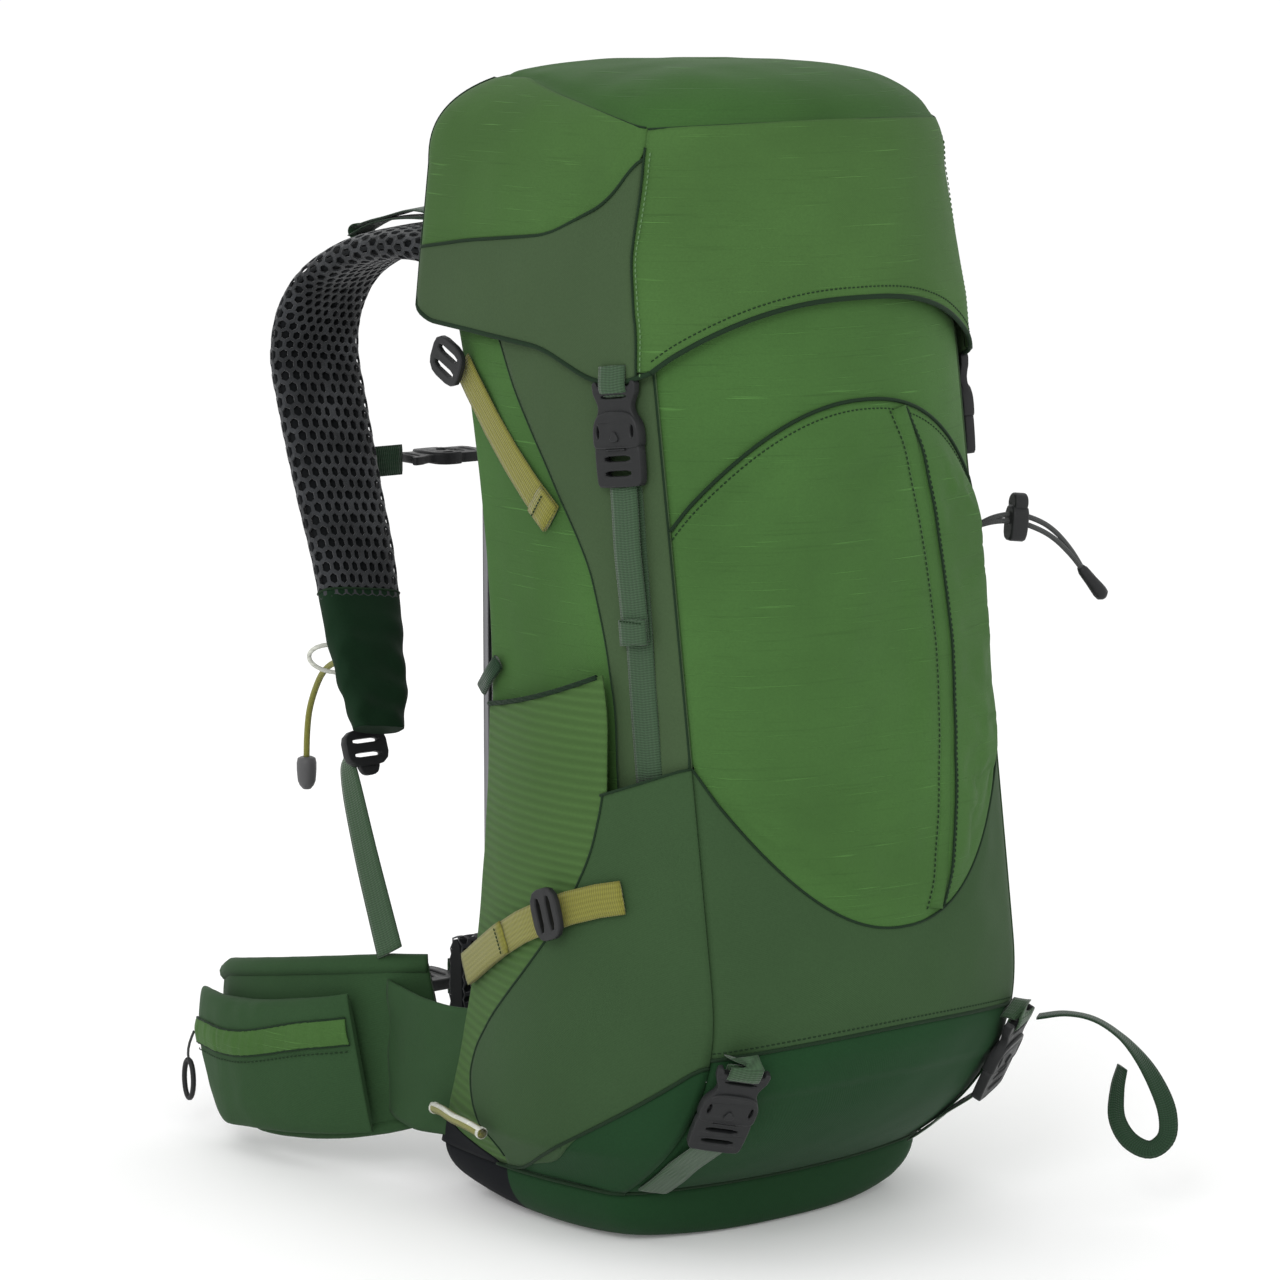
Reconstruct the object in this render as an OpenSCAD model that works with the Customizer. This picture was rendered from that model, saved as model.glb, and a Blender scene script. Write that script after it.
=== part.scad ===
// Hiking backpack of about 44 litres: a stuffed bag of sewn panels on a curved hoop frame,
// with a hinged lid, a sliding shoulder harness, a sternum strap and two hip wings.
// X runs to the right as seen from the front, Y from the front panel towards the wearer's
// back, Z up. The origin is on the floor under the middle of the bag, on its centre plane.

/* [Bag] */
// Half width of the bag at its front seams
front_half = 118; // [112:1:124]
// Half width of the bag at its rear seams
rear_half = 128; // [122:1:134]
// Height of the bag's walls at the collar
wall_top = 548; // [544:1:552]
// Thickness of a sewn panel with its lining
panel_t = 3; // [2:0.5:4]
// Radius of the rounded base
base_r = 34; // [28:1:40]

/* [Lid] */
// Height of the lid's crown above the floor
crown_z = 706; // [698:1:712]
// Thickness of the lid's shell
lid_t = 4; // [3:0.5:5]

/* [Webbing] */
// Width of the lid, pad and compression webbing
web_w = 20; // [16:1:20]
// Thickness of webbing
web_t = 1.6; // [1.2:0.2:2]
// Clearance between a plug and its socket
fit_gap = 1.3; // [1:0.1:1.5]

/* [Harness] */
// Width of a shoulder strap
strap_w = 62; // [54:1:68]
// Thickness of a shoulder strap
strap_t = 15; // [12:1:17]
// Diameter of the frame's rod
rod_d = 6; // [5:0.5:8]

/* [Hidden] */
LEFT = -1;
RIGHT = 1;
seam_gap = 0.004;   // free space left at each seam, as a share of a panel

// ---- The bag's outline ------------------------------------------------------------------
// s runs once round the outline: 0-1 front, 1-2 right side, 2-3 back, 3-4 left side.
function mix(a, b, u) = a + (b - a) * u;
function unit(v) = v / norm(v);
tuck_z = 180;       // below this height the front slopes back to the base
tuck = 174;         // how far back it would reach at the floor
function front_y(z) = -110 + 0.155 * z + tuck * pow(max(0, tuck_z - z) / tuck_z, 2.33);
function back_y(z) = 122 + 50 * pow((z - 320) / 280, 2);
function front_crown(z) = (30 + 0.03 * z) * min(1, 0.55 + 0.45 * z / 140);
function side_x(u) = mix(front_half, rear_half, u) + 10 * sin(180 * u);
function outline(s, z) =
    s < 1 ? [mix(-front_half, front_half, s), front_y(z) - front_crown(z) * (1 - pow(abs(2 * s - 1), 2.2))]
  : s < 2 ? [side_x(s - 1), mix(front_y(z), back_y(z), s - 1)]
  : s < 3 ? [mix(rear_half, -rear_half, s - 2), back_y(z)]
  : [-side_x(4 - s), mix(back_y(z), front_y(z), s - 3)];
function wrap(s) = s < 0 ? s + 4 : s >= 4 ? s - 4 : s;
function along(s, z) = unit(outline(wrap(s + 0.01), z) - outline(wrap(s - 0.01), z));
function out(s, z) = let (d = along(s, z)) [d.y, -d.x];
function skin_at(s, z, g) = let (p = outline(wrap(s), z) + g * out(wrap(s), z)) [p.x, p.y, z];

// The lid has its own, wider outline at the rear.
lid_rear_half = 139;
lid_front_half = 126;
lid_rear_y = 184;
lid_wall_z = 644;
function lid_front_y(z) = front_y(z) - 6;
function lid_taper(z) = 1 - 0.0009 * max(0, z - 565);
function lid_side_x(u, z) = lid_taper(z) * (mix(lid_front_half, lid_rear_half, u) + 8 * sin(180 * u));
function lid_outline(s, z) =
    s < 1 ? [mix(-1, 1, s) * lid_side_x(0, z),
             lid_front_y(z) - front_crown(z) * (1 - pow(abs(2 * s - 1), 2.2))]
  : s < 2 ? [lid_side_x(s - 1, z), mix(lid_front_y(z), lid_rear_y, s - 1)]
  : s < 3 ? [mix(1, -1, s - 2) * lid_side_x(1, z), lid_rear_y]
  : [-lid_side_x(4 - s, z), mix(lid_rear_y, lid_front_y(z), s - 3)];
function lid_along(s, z) = unit(lid_outline(wrap(s + 0.01), z) - lid_outline(wrap(s - 0.01), z));

// ---- Closed surfaces --------------------------------------------------------------------
// Joins rows of points, each a closed loop of the same length, into one solid with flat ends.
module loft(rows) {
    n = len(rows[0]);
    m = len(rows);
    points = [for (r = rows) each r];
    sides = [for (j = [0 : m - 2]) for (i = [0 : n - 1]) let (k = (i + 1) % n)
        each [[j * n + i, j * n + k, (j + 1) * n + k], [j * n + i, (j + 1) * n + k, (j + 1) * n + i]]];
    ends = [[for (i = [n - 1 : -1 : 0]) i], [for (i = [0 : n - 1]) (m - 1) * n + i]];
    polyhedron(points, concat(sides, ends), convexity = 8);
}
// Faces of a band of rows j of n points each, starting at point b; ring joins each row's ends.
function band_faces(b, n, m, ring = true, turn = false) =
    [for (j = [0 : m - 2]) for (i = [0 : n - (ring ? 1 : 2)])
        let (k = (i + 1) % n, p = b + j * n + i, q = b + j * n + k, r = p + n, s = q + n)
        each turn ? [[p, s, q], [p, r, s]] : [[p, q, s], [p, s, r]]];
// A shell between outer and inner rings, joined at its first ring; cap closes the last rings.
module shell(outer, inner, cap = false) {
    n = len(outer[0]);
    m = len(outer);
    b = n * m;
    rim = function (j, turn) [for (i = [0 : n - 1]) let (p = j * n + i, q = j * n + (i + 1) % n)
        each turn ? [[p, b + q, q], [p, b + p, b + q]] : [[p, q, b + q], [p, b + q, b + p]]];
    polyhedron(concat([for (r = outer) each r], [for (r = inner) each r]),
        concat(band_faces(0, n, m), band_faces(b, n, m, turn = true), rim(0, true),
            cap ? [[for (i = [0 : n - 1]) b - n + i], [for (i = [n - 1 : -1 : 0]) 2 * b - n + i]]
                : rim(m - 1, false)), convexity = 8);
}
// A curved sheet between an outer and an inner surface; at(i, j, side) gives its points.
module sheet(ni, nj, at) {
    n = nj + 1;
    m = ni + 1;
    b = n * m;
    edge = function (p, q) [[p, b + q, q], [p, b + p, b + q]];
    polyhedron([for (side = [0, 1]) for (i = [0 : ni]) for (j = [0 : nj]) at(i, j, side)],
        concat(band_faces(0, n, m, ring = false), band_faces(b, n, m, ring = false, turn = true),
            [for (j = [0 : nj - 1]) each edge(j, j + 1)],
            [for (j = [0 : nj - 1]) each edge((m - 1) * n + j + 1, (m - 1) * n + j)],
            [for (i = [0 : ni - 1]) each edge((i + 1) * n, i * n)],
            [for (i = [0 : ni - 1]) each edge(i * n + nj, (i + 1) * n + nj)]), convexity = 8);
}
// A patch of the bag's wall from s0 to s1, with its own lower and upper edges and offsets.
module wall(s0, s1, ni, nj, low, high, outer, inner) {
    sheet(ni, nj, function (i, j, side)
        let (s = mix(s0, s1, i / ni), z = mix(low(s), high(s), j / nj))
        skin_at(s, z, side == 0 ? outer(s, z) : inner(s, z)));
}
function tangents(path) = [for (i = [0 : len(path) - 1])
    unit(path[min(i + 1, len(path) - 1)] - path[max(i - 1, 0)])];
// A band of webbing along a path; faces gives the direction that its flat side looks.
module ribbon(path, faces, w = web_w, t = web_t) {
    d = tangents(path);
    loft([for (i = [0 : len(path) - 1])
        let (across = unit(cross(d[i], faces[i])), up = unit(cross(across, d[i])))
        [path[i] - across * w / 2 - up * t / 2, path[i] + across * w / 2 - up * t / 2,
         path[i] + across * w / 2 + up * t / 2, path[i] - across * w / 2 + up * t / 2]]);
}
// A band that lies on the bag's wall, through points of [s, z, height above the wall].
module wall_ribbon(stops, w = web_w, t = web_t) {
    ribbon([for (p = stops) skin_at(p[0], p[1], p[2])],
           [for (p = stops) let (n = out(wrap(p[0]), p[1])) [n.x, n.y, 0]], w, t);
}
// A padded strip: a rounded section swept along a path, widths and thicknesses per point.
module pad(path, faces, widths, thicks, n = 14) {
    d = tangents(path);
    loft([for (i = [0 : len(path) - 1])
        let (across = unit(cross(d[i], faces[i])), up = unit(cross(across, d[i])))
        [for (k = [0 : n - 1]) let (a = 360 * k / n, c = cos(a), e = sin(a))
            path[i] + across * widths[i] / 2 * sign(c) * pow(abs(c), 0.55)
                    + up * thicks[i] / 2 * sign(e) * pow(abs(e), 0.75)]]);
}
// A round cord along a path.
module cord(path, d, n = 8) {
    t = tangents(path);
    loft([for (i = [0 : len(path) - 1])
        let (side = unit(cross(t[i], abs(t[i].z) > 0.9 ? [1, 0, 0] : [0, 0, 1])), up = cross(side, t[i]))
        [for (k = [0 : n - 1]) path[i] + d / 2 * (side * cos(360 * k / n) + up * sin(360 * k / n))]]);
}
function flip(path, side) = [for (p = path) [p.x * side, p.y, p.z]];
function same(v, n) = [for (i = [1 : n]) v];
function ordered(path, side) = side == RIGHT ? [for (i = [len(path) - 1 : -1 : 0]) path[i]] : path;

// ---- Bag --------------------------------------------------------------------------------
function front_top(s) = wall_top + 30 * (1 - pow(abs(2 * s - 1), 2));
function lower_top(s) = 204 + 100 * pow(abs(2 * s - 1), 2.2);
module front_panel() {
    color("forestgreen") wall(seam_gap, 1 - seam_gap, 24, 8,
        function (s) lower_top(s) + 1, function (s) front_top(s),
        function (s, z) 0, function (s, z) -panel_t);
}
module lower_front_panel() {
    color("darkgreen") wall(4 * seam_gap, 1 - 4 * seam_gap, 24, 6,
        function (s) base_r + 1, function (s) lower_top(s),
        function (s, z) 0, function (s, z) -panel_t);
}
module side_panel(s0) {
    wall(s0 + seam_gap, s0 + 1 - seam_gap, 12, 10,
        function (s) base_r + 1, function (s) wall_top,
        function (s, z) 0, function (s, z) -panel_t);
}
module left_side_panel() { color("forestgreen") side_panel(3); }
module right_side_panel() { color("forestgreen") side_panel(1); }
module back_panel() {
    color("dimgray") wall(2 + 5 * seam_gap, 3 - 5 * seam_gap, 6, 10,
        function (s) base_r + 1, function (s) wall_top,
        function (s, z) 0, function (s, z) -panel_t);
}
// The base is a shallow tray: its wall turns under in a quarter round to an oval floor.
base_centre = [0, 80];
function floor_reach(d) = pow(pow(abs(d.x) / 106, 2.6) + pow(abs(d.y) / 86, 2.6), -1 / 2.6);
function base_ring(a, t, n) = let (r = base_r - t)
    [for (i = [0 : n - 1]) let (p = outline(wrap(4 - 4 * i / n), base_r) - base_centre, d = unit(p),
        q = base_centre + d * (mix(norm(p), floor_reach(d), 1 - cos(a)) - t)) [q.x, q.y, base_r - r * sin(a)]];
module base_panel() {
    turn = [for (a = [0 : 15 : 90]) a];
    color("darkgreen") shell([for (a = turn) base_ring(a, 0, 48)],
        [for (a = turn) base_ring(a, panel_t, 48)], cap = true);
}
// The collar gathers the bag's mouth to an oval held by a drawcord.
mouth = [62, 46];
mouth_centre = [0, 52];
mouth_z = 622;
function collar_ring(u, t) = [for (i = [0 : 47]) let (s = i / 12, a = -135 + 7.5 * i,
        z = mix(s < 1 ? front_top(s) : wall_top, mouth_z, u) + 0.6,
        p = skin_at(s, s < 1 ? front_top(s) : wall_top, -1 - t),
        q = mouth_centre + [(mouth.x - t) * cos(a), (mouth.y - t) * sin(a)],
        k = u * u * (3 - 2 * u))
    [mix(p.x, q.x, k), mix(p.y, q.y, k), z]];
module collar() {
    steps = [for (i = [0 : 6]) i / 6];
    color("darkslategray") shell([for (u = steps) collar_ring(u, 0)], [for (u = steps) collar_ring(u, panel_t)]);
}
cord_r = 1.5;
module collar_drawcord() {
    color("black") translate([mouth_centre.x, mouth_centre.y, mouth_z - 6])
        difference() {
            linear_extrude(2 * cord_r) scale([1, 0.78]) circle(mouth.x + 9.5, $fn = 64);
            translate([0, 0, -1]) linear_extrude(2 * cord_r + 2) scale([1, 0.78]) circle(mouth.x + 6.5, $fn = 64);
        }
}
module collar_cord_lock() {
    color("black") translate([0, mouth_centre.y - mouth.x * 0.78 - 19, mouth_z - 4.5])
        rotate([90, 0, 0]) difference() {
            cylinder(h = 14, d = 13, center = true, $fn = 40);
            for (x = [-3, 3]) translate([x, 0, 0]) rotate([90, 0, 0]) cylinder(h = 20, d = 3.4, center = true, $fn = 24);
        }
}
// The front pocket is a second, arched layer over the front panel.
pocket_high = function (s) 440 + 72 * (1 - pow(abs(2 * s - 1), 2.2));
pocket_low = function (s) lower_top(s) + 4;
module front_pocket() {
    color("forestgreen") wall(0.03, 0.97, 22, 6, pocket_low, pocket_high,
        function (s, z) 4 + 5 * (1 - pow(abs(2 * s - 1), 4)), function (s, z) 0.6);
}
zip_s = 0.63;
module front_pocket_zip() {
    color("darkolivegreen") wall_ribbon([for (z = [216 : 24 : 504]) [zip_s, z, 11]], 9, 2.4);
}
function mirrored_s(s, side) = side == LEFT ? 4 - s : 1 + s;
// Side pocket of stretch fabric, tied in along both seams, open along its slanting top.
function side_share(s) = s > 2 ? 4 - s : s - 1;
stretch_top = function (s) mix(372, 305, side_share(s)) - 12 * sin(180 * side_share(s));
function stretch_gap(s, z) = 0.8 + (4 + 20 * pow(max(0, 1 - abs(z - 110) / 330), 0.7))
    * sin(180 * pow(side_share(s), 1.0)) * min(1, (z - base_r) / 30);
module stretch_pocket(s0) {
    wall(s0 + 0.1, s0 + 0.9, 12, 8, function (s) base_r + 2, stretch_top,
        function (s, z) stretch_gap(s, z) + 2, function (s, z) stretch_gap(s, z));
}
module left_stretch_pocket() { color("olivedrab") stretch_pocket(3); }
module right_stretch_pocket() { color("olivedrab") stretch_pocket(1); }

// ---- Frame and back ---------------------------------------------------------------------
frame_half = 80;
frame_low = 62;
frame_high = 572;
frame_bend = 36;
frame_y = 190;
frame_foot_y = 184;
// One leg, a corner bend and half of a cross bar make a quarter of the hoop.
module frame_quarter() {
    leg = (frame_high - frame_low) / 2 - frame_bend;
    translate([frame_half, 0, 0]) cylinder(h = leg, d = rod_d, $fn = 24);
    translate([frame_half - frame_bend, 0, leg]) rotate([90, 0, 0])
        rotate_extrude(angle = 90, $fn = 48) translate([frame_bend, 0]) circle(d = rod_d, $fn = 24);
    translate([0, 0, leg + frame_bend]) rotate([0, 90, 0])
        cylinder(h = frame_half - frame_bend, d = rod_d, $fn = 24);
}
module frame() {
    color("silver") translate([0, (frame_y + frame_foot_y) / 2, (frame_low + frame_high) / 2])
        union() {
            for (x = [0, 1]) for (z = [0, 1])
                mirror([x, 0, 0]) mirror([0, 0, z]) frame_quarter();
            for (z = [-1, 1]) translate([-frame_half, 0, z * 150]) rotate([0, 90, 0])
                cylinder(h = 2 * frame_half, d = rod_d, $fn = 24);
        }
}
mesh_y = 193.5;
mesh_half = 74;
module back_mesh() {
    color("dimgray") sheet(8, 10, function (i, j, side)
        let (x = mix(-mesh_half, mesh_half, i / 8), z = mix(76, 556, j / 10))
        [x, mesh_y + (side == 0 ? 0 : 1.6), z]);
}
module lumbar_pad() {
    path = [for (x = [-92 : 23 : 92]) [x, 203 + 4 * pow(x / 92, 2), 108]];
    color("dimgray") pad(path, same([0, 1, 0], len(path)), same(84, len(path)), same(14, len(path)));
}
module haul_loop() {
    path = [[-27, 202, 563], [-26, 205, 576], [-18, 208, 589], [0, 209, 595],
            [18, 208, 589], [26, 205, 576], [27, 202, 563]];
    color("darkgreen") ribbon(path, [for (p = path) unit([p.x, 0, p.z - 560])], 12, 2);
}

// ---- Buckles ----------------------------------------------------------------------------
// Each half is drawn in its own frame: Z along the strap with the parting line at 0, the
// socket above it and the plug below it, X across the strap and -Y away from the bag.
buckle_w = web_w + 12;
buckle_t = 8;
prong = 9;
module plate(w, h, t) { cube([w, t, h], center = true); }
module socket() {
    difference() {
        union() {
            translate([0, 0, 9]) plate(buckle_w, 18, buckle_t);
            translate([0, 0, 24]) plate(web_w - 2, 14, 5);
            translate([0, 0, 31]) plate(buckle_w - 2, 10, 6);
        }
        translate([0, 0, 6]) plate(buckle_w - 5, 16, 5.6);
        for (x = [-1, 1]) translate([x * (buckle_w / 2 - 2), 0, 9]) rotate([90, 0, 0])
            cylinder(h = 3 * buckle_t, d = 8, center = true, $fn = 32);
        translate([0, 0, 32]) plate(web_w + 1, 4, 20);
    }
}
module plug() {
    difference() {
        union() {
            translate([0, 0, -11.6]) plate(buckle_w, 22, 7);
            for (x = [-1, 1]) translate([x * (buckle_w / 2 - 6.4), 0, prong / 2 - 1])
                plate(5, prong + 2, 5.6 - 2 * 0.7);
            translate([0, 0, prong / 2 - 1]) plate(6, prong, 3);
        }
        for (z = [-7, -15.4]) translate([0, 0, z]) plate(web_w + 1, 4.6, 20);
    }
}

// ---- Lid straps and lid -----------------------------------------------------------------
lid_strap_s = 0.13;
buckle_z = 488;
strap_tilt = 7;
function strap_s(side) = side == LEFT ? 4 - lid_strap_s : 1 + lid_strap_s;
module at_lid_buckle(side) {
    p = skin_at(strap_s(side), buckle_z, 7.5);
    translate(p) rotate([-strap_tilt, 0, 0]) rotate([0, 0, side * 78]) children();
}
function strap_line(z) = let (p = skin_at(strap_s(RIGHT), buckle_z, 7.5)) 
    [p.x, p.y - (p.z - z) * tan(strap_tilt), z];
module lid_strap(side, high, low, out_by, w, t) {
    n = [side * sin(78), -cos(78), 0];
    path = [for (z = [high : -(high - low) / 8 : low])
        let (p = strap_line(z)) [p.x * side, p.y, p.z] + n * out_by];
    ribbon(path, same(n, 9), w, t);
}
module lid_straps() {
    color("seagreen") for (side = [LEFT, RIGHT]) lid_strap(side, 464, 300, -5.2, web_w, web_t);
}
module lid_strap_tail(side) { color("seagreen") lid_strap(side, 462, 376, 0.4, web_w, 2.4); }
module left_lid_strap_tail() { lid_strap_tail(LEFT); }
module right_lid_strap_tail() { lid_strap_tail(RIGHT); }
module left_lid_plug() { color("dimgray") at_lid_buckle(LEFT) plug(); }
module right_lid_plug() { color("dimgray") at_lid_buckle(RIGHT) plug(); }
module lid_buckle_sockets() {
    color("dimgray") for (side = [LEFT, RIGHT]) at_lid_buckle(side) socket();
}
module lid_buckle_webbing() {
    color("seagreen") for (side = [LEFT, RIGHT]) at_lid_buckle(side)
        translate([0, 0, 38.8]) cube([web_w, web_t, 5], center = true);
}
hinge_z = 604;
// Lower edge of the lid: low at the sides, arched over the front, up at the rear hinge.
function lid_low(s) = s < 1 ? 530 + 40 * (1 - pow(abs(2 * s - 1), 2.5))
    : s >= 2 && s <= 3 ? hinge_z
    : let (u = side_share(s)) u > 0.92 ? mix(547, hinge_z, (u - 0.92) / 0.08)
    : mix(530, 547, u);
function lid_ring(k, t, n) = [for (i = [0 : n - 1]) let (s = 4 * i / n,
        z = k < 1 ? mix(lid_low(s), lid_wall_z, k) : lid_wall_z,
        p = lid_outline(s, z), d = lid_along(s, z))
    [p.x - t * d.y, p.y + t * d.x, z]];
lid_centre = [0, 62];
function lid_dome(a, t, n) = [for (p = lid_ring(1, t, n))
    let (k = pow(cos(a), 0.6), q = mix(lid_centre, [p.x, p.y], k))
    [q.x, q.y, lid_wall_z + (crown_z - t - lid_wall_z) * pow(sin(a), 0.8)]];
module lid_shell() {
    n = 48;
    angles = [20, 38, 54, 68, 79, 87];
    color("green") shell(
        concat([for (k = [0 : 4]) lid_ring(k / 4, 0, n)], [for (a = angles) lid_dome(a, 0, n)]),
        concat([for (k = [0 : 4]) lid_ring(k / 4, lid_t, n)], [for (a = angles) lid_dome(a, lid_t, n)]),
        cap = true);
}
floor_z = 636;
module lid_floor() {
    color("darkslategray") translate([0, 0, floor_z]) linear_extrude(3)
        polygon([for (i = [0 : 47]) let (s = i / 12, p = lid_outline(s, floor_z), d = lid_along(s, floor_z))
            p + (lid_t + 1.2) * [-d.y, d.x]]);
}
module lid_zip() {
    path = [for (i = [0 : 8]) let (x = mix(-108, 108, i / 8)) [x, lid_rear_y + 1.6, 640]];
    color("darkgreen") ribbon(path, same([0, 1, 0], 9), 10, 2.4);
}

// ---- Straps on the bag ------------------------------------------------------------------
module side_band(stops, side, w, t) {
    wall_ribbon([for (p = stops) let (s = mirrored_s(p[0], side))
        [s, p[1], p[1] > 300 ? 3.4 : stretch_gap(s, p[1]) + 5.4]], w, t);
}
upper_stops = [[0.5, 440], [0.6, 455], [0.7, 472], [0.8, 491], [0.9, 513], [0.96, 528]];
lower_stops = [[0.22, 226], [0.3, 222], [0.4, 215], [0.5, 206], [0.6, 196], [0.7, 184], [0.8, 171],
               [0.9, 158], [0.97, 150]];
module upper_compression_straps() {
    color("olive") for (side = [LEFT, RIGHT]) side_band(upper_stops, side, web_w, web_t);
}
module lower_compression_straps() {
    color("olive") for (side = [LEFT, RIGHT]) side_band(lower_stops, side, web_w, web_t);
}
module slider() {
    difference() {
        cube([web_w + 9, 4, 24], center = true);
        for (z = [-5.2, 5.2]) translate([0, 0, z]) cube([web_w + 2, 12, 6.4], center = true);
    }
}
module compression_strap_sliders() {
    color("dimgray") for (side = [LEFT, RIGHT]) {
        u = skin_at(mirrored_s(0.97, side), 526, 11);
        translate(u) rotate([0, 0, side * 90]) rotate([0, -side * 25, 0]) slider();
        l = skin_at(mirrored_s(0.46, side), 210, 30.4);
        translate(l) rotate([0, 0, side * 90]) rotate([0, 70, 0]) slider();
    }
}
pad_s = 0.06;
pad_z = 98;
pad_tilt = 30;
module at_pad_buckle(side) {
    s = side == LEFT ? pad_s : 1 - pad_s;
    translate(skin_at(s, pad_z, 11)) rotate([pad_tilt, 0, 0]) rotate([0, 0, side * 24]) children();
}
module pad_straps() {
    color("seagreen") for (side = [LEFT, RIGHT]) {
        at_pad_buckle(side) translate([0, 0, 42.4]) cube([web_w, web_t, 12], center = true);
        s = side == LEFT ? pad_s : 1 - pad_s;
        path = [for (z = [80 : -8 : 40]) skin_at(s, z, 5.5)];
        n = out(s, 60);
        ribbon(path, same([n.x, n.y, 0], len(path)));
    }
}
module pad_strap_sockets() {
    color("dimgray") for (side = [LEFT, RIGHT]) at_pad_buckle(side) socket();
}
module left_pad_plug() { color("dimgray") at_pad_buckle(LEFT) plug(); }
module right_pad_plug() { color("dimgray") at_pad_buckle(RIGHT) plug(); }

// ---- Tool loops and cords ---------------------------------------------------------------
axe_route = [[122, -104, 128], [132, -118, 131], [144, -130, 128], [156, -140, 118], [166, -148, 104],
             [174, -154, 88], [180, -158, 70], [180, -158, 54], [172, -152, 46], [162, -144, 52],
             [156, -139, 66], [156, -139, 84], [158, -141, 98]];
module ice_axe_loop() {
    color("darkgreen") ribbon(axe_route, [for (d = tangents(axe_route)) cross([0.62, 0.78, 0], d)], 12, 1.8);
}
bungee_route = [[122, -44, 424], [131, -48, 426], [141, -51, 426], [150, -54, 424], [158, -56, 421],
                [166, -58, 417], [173, -60, 412], [180, -61, 406], [186, -62, 400], [192, -63, 393]];
bungee_d = 4;
module bungee_cord() { color("dimgray") cord(bungee_route, bungee_d); }
module bungee_lock() {
    color("dimgray") translate([146, -52.6, 425]) rotate([0, 6, -18]) difference() {
        union() {
            cube([11, 12, 20], center = true);
            translate([0, 0, 12]) rotate([0, 90, 0]) cylinder(h = 9, d = 9, center = true, $fn = 32);
        }
        rotate([0, 90, 0]) cylinder(h = 40, d = bungee_d + 3.4, center = true, $fn = 32);
    }
}
module bungee_pull() {
    color("dimgray") translate([192.6, -63.1, 392.2]) rotate([0, 138, -9])
        cylinder(h = 22, d1 = 7, d2 = 9, $fn = 32);
}
pole_route = [[0.97, 58], [0.92, 60], [0.86, 62], [0.8, 63], [0.74, 64], [0.68, 65], [0.62, 65], [0.57, 64]];
pole_d = 8;
module pole_loop() {
    color("olive") cord([for (p = pole_route) let (s = mirrored_s(p[0], LEFT))
        skin_at(s, p[1], stretch_gap(s, p[1]) + 3 + pole_d)], pole_d, 10);
}

// ---- Harness ----------------------------------------------------------------------------
strap_route = [[-46, 212, 566], [-50, 238, 580], [-55, 268, 587], [-60, 300, 586], [-66, 332, 578],
               [-72, 360, 561], [-78, 374, 536], [-82, 374, 508], [-86, 360, 478], [-90, 344, 447],
               [-93, 329, 417], [-96, 313, 387], [-100, 299, 357], [-104, 286, 329], [-108, 273, 303],
               [-112, 262, 280]];
strap_widths = [46, 52, 56, 58, 60, 61, 62, 62, 61, 60, 58, 56, 53, 49, 43, 30];
function strap_faces(path) = [for (d = tangents(path)) unit(cross([1, 0.08, 0.1], d))];
module shoulder_strap(side) {
    path = ordered(flip(strap_route, -side), side);
    widths = ordered([for (w = strap_widths) [w]], side);
    n = len(path);
    color("dimgray") pad(path, strap_faces(path), [for (w = widths) w[0] * strap_w / 62],
        [for (i = [0 : n - 1]) strap_t * (widths[i][0] < 45 ? 0.7 : 1)]);
}
module left_shoulder_strap() { shoulder_strap(LEFT); }
module right_shoulder_strap() { shoulder_strap(RIGHT); }
module yoke() {
    path = [for (z = [440 : 20 : 560]) [0, 200.5, z]];
    color("dimgray") pad(path, same([0, 1, 0], 7), [120, 138, 146, 150, 152, 150, 136], same(9, 7));
}
module ladder_lock() {
    difference() {
        cube([web_w + 10, 6, 22], center = true);
        for (z = [-4.5, 4.5]) translate([0, 0, z]) cube([web_w + 2, 20, 5], center = true);
    }
}
module strap_ladder_locks() {
    color("dimgray") for (side = [LEFT, RIGHT])
        translate([side * 113, 276, 266]) rotate([-20, 0, 0]) ladder_lock();
}
lifter_route = [[-48, 200, 596], [-51, 225, 600], [-54, 255, 602], [-58, 290, 602], [-62, 322, 598], [-66, 346, 588]];
module load_lifters() {
    color("darkgreen") for (side = [LEFT, RIGHT]) {
        path = ordered(flip(lifter_route, -side), side);
        ribbon(path, strap_faces(path));
    }
}
webbing_route = [[-117, 290, 262], [-119, 287, 254], [-122, 276, 234], [-127, 255, 200], [-132, 234, 170], [-136, 217, 146]];
module shoulder_webbing() {
    color("seagreen") for (side = [LEFT, RIGHT]) {
        path = ordered(flip(webbing_route, -side), side);
        ribbon(path, same([0.5 * side, 0.6, 0.6], len(path)));
    }
}
stow_route = [[-106, 307, 316], [-105, 322, 314], [-104, 336, 306], [-103, 347, 293], [-103, 354, 278],
              [-103, 357, 262], [-103, 358, 246]];
module stow_cord() { color("olive") cord(stow_route, 5); }
module stow_toggle() {
    color("gray") translate([-103, 358, 245]) mirror([0, 0, 1]) cylinder(h = 20, d1 = 9, d2 = 13, $fn = 40);
}
sternum_z = 438;
sternum_y = 352;
module sternum_web(x0, x1) {
    ribbon([for (i = [0 : 4]) [mix(x0, x1, i / 4), sternum_y, sternum_z]], same([0, 1, 0], 5), web_w, web_t);
}
module sternum_left_webbing() { color("darkgreen") sternum_web(-54, -29); }
module sternum_right_webbing() { color("darkgreen") sternum_web(47, 54); }
module at_sternum() { translate([8, sternum_y, sternum_z]) rotate([0, -90, 0]) rotate([0, 0, 90]) children(); }
module sternum_socket() {
    color("black") at_sternum() union() {
        socket();
        translate([buckle_w / 2 + 2, 0, 9]) cube([6, 7, 8], center = true);
    }
}
module sternum_plug() { color("black") at_sternum() plug(); }

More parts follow.
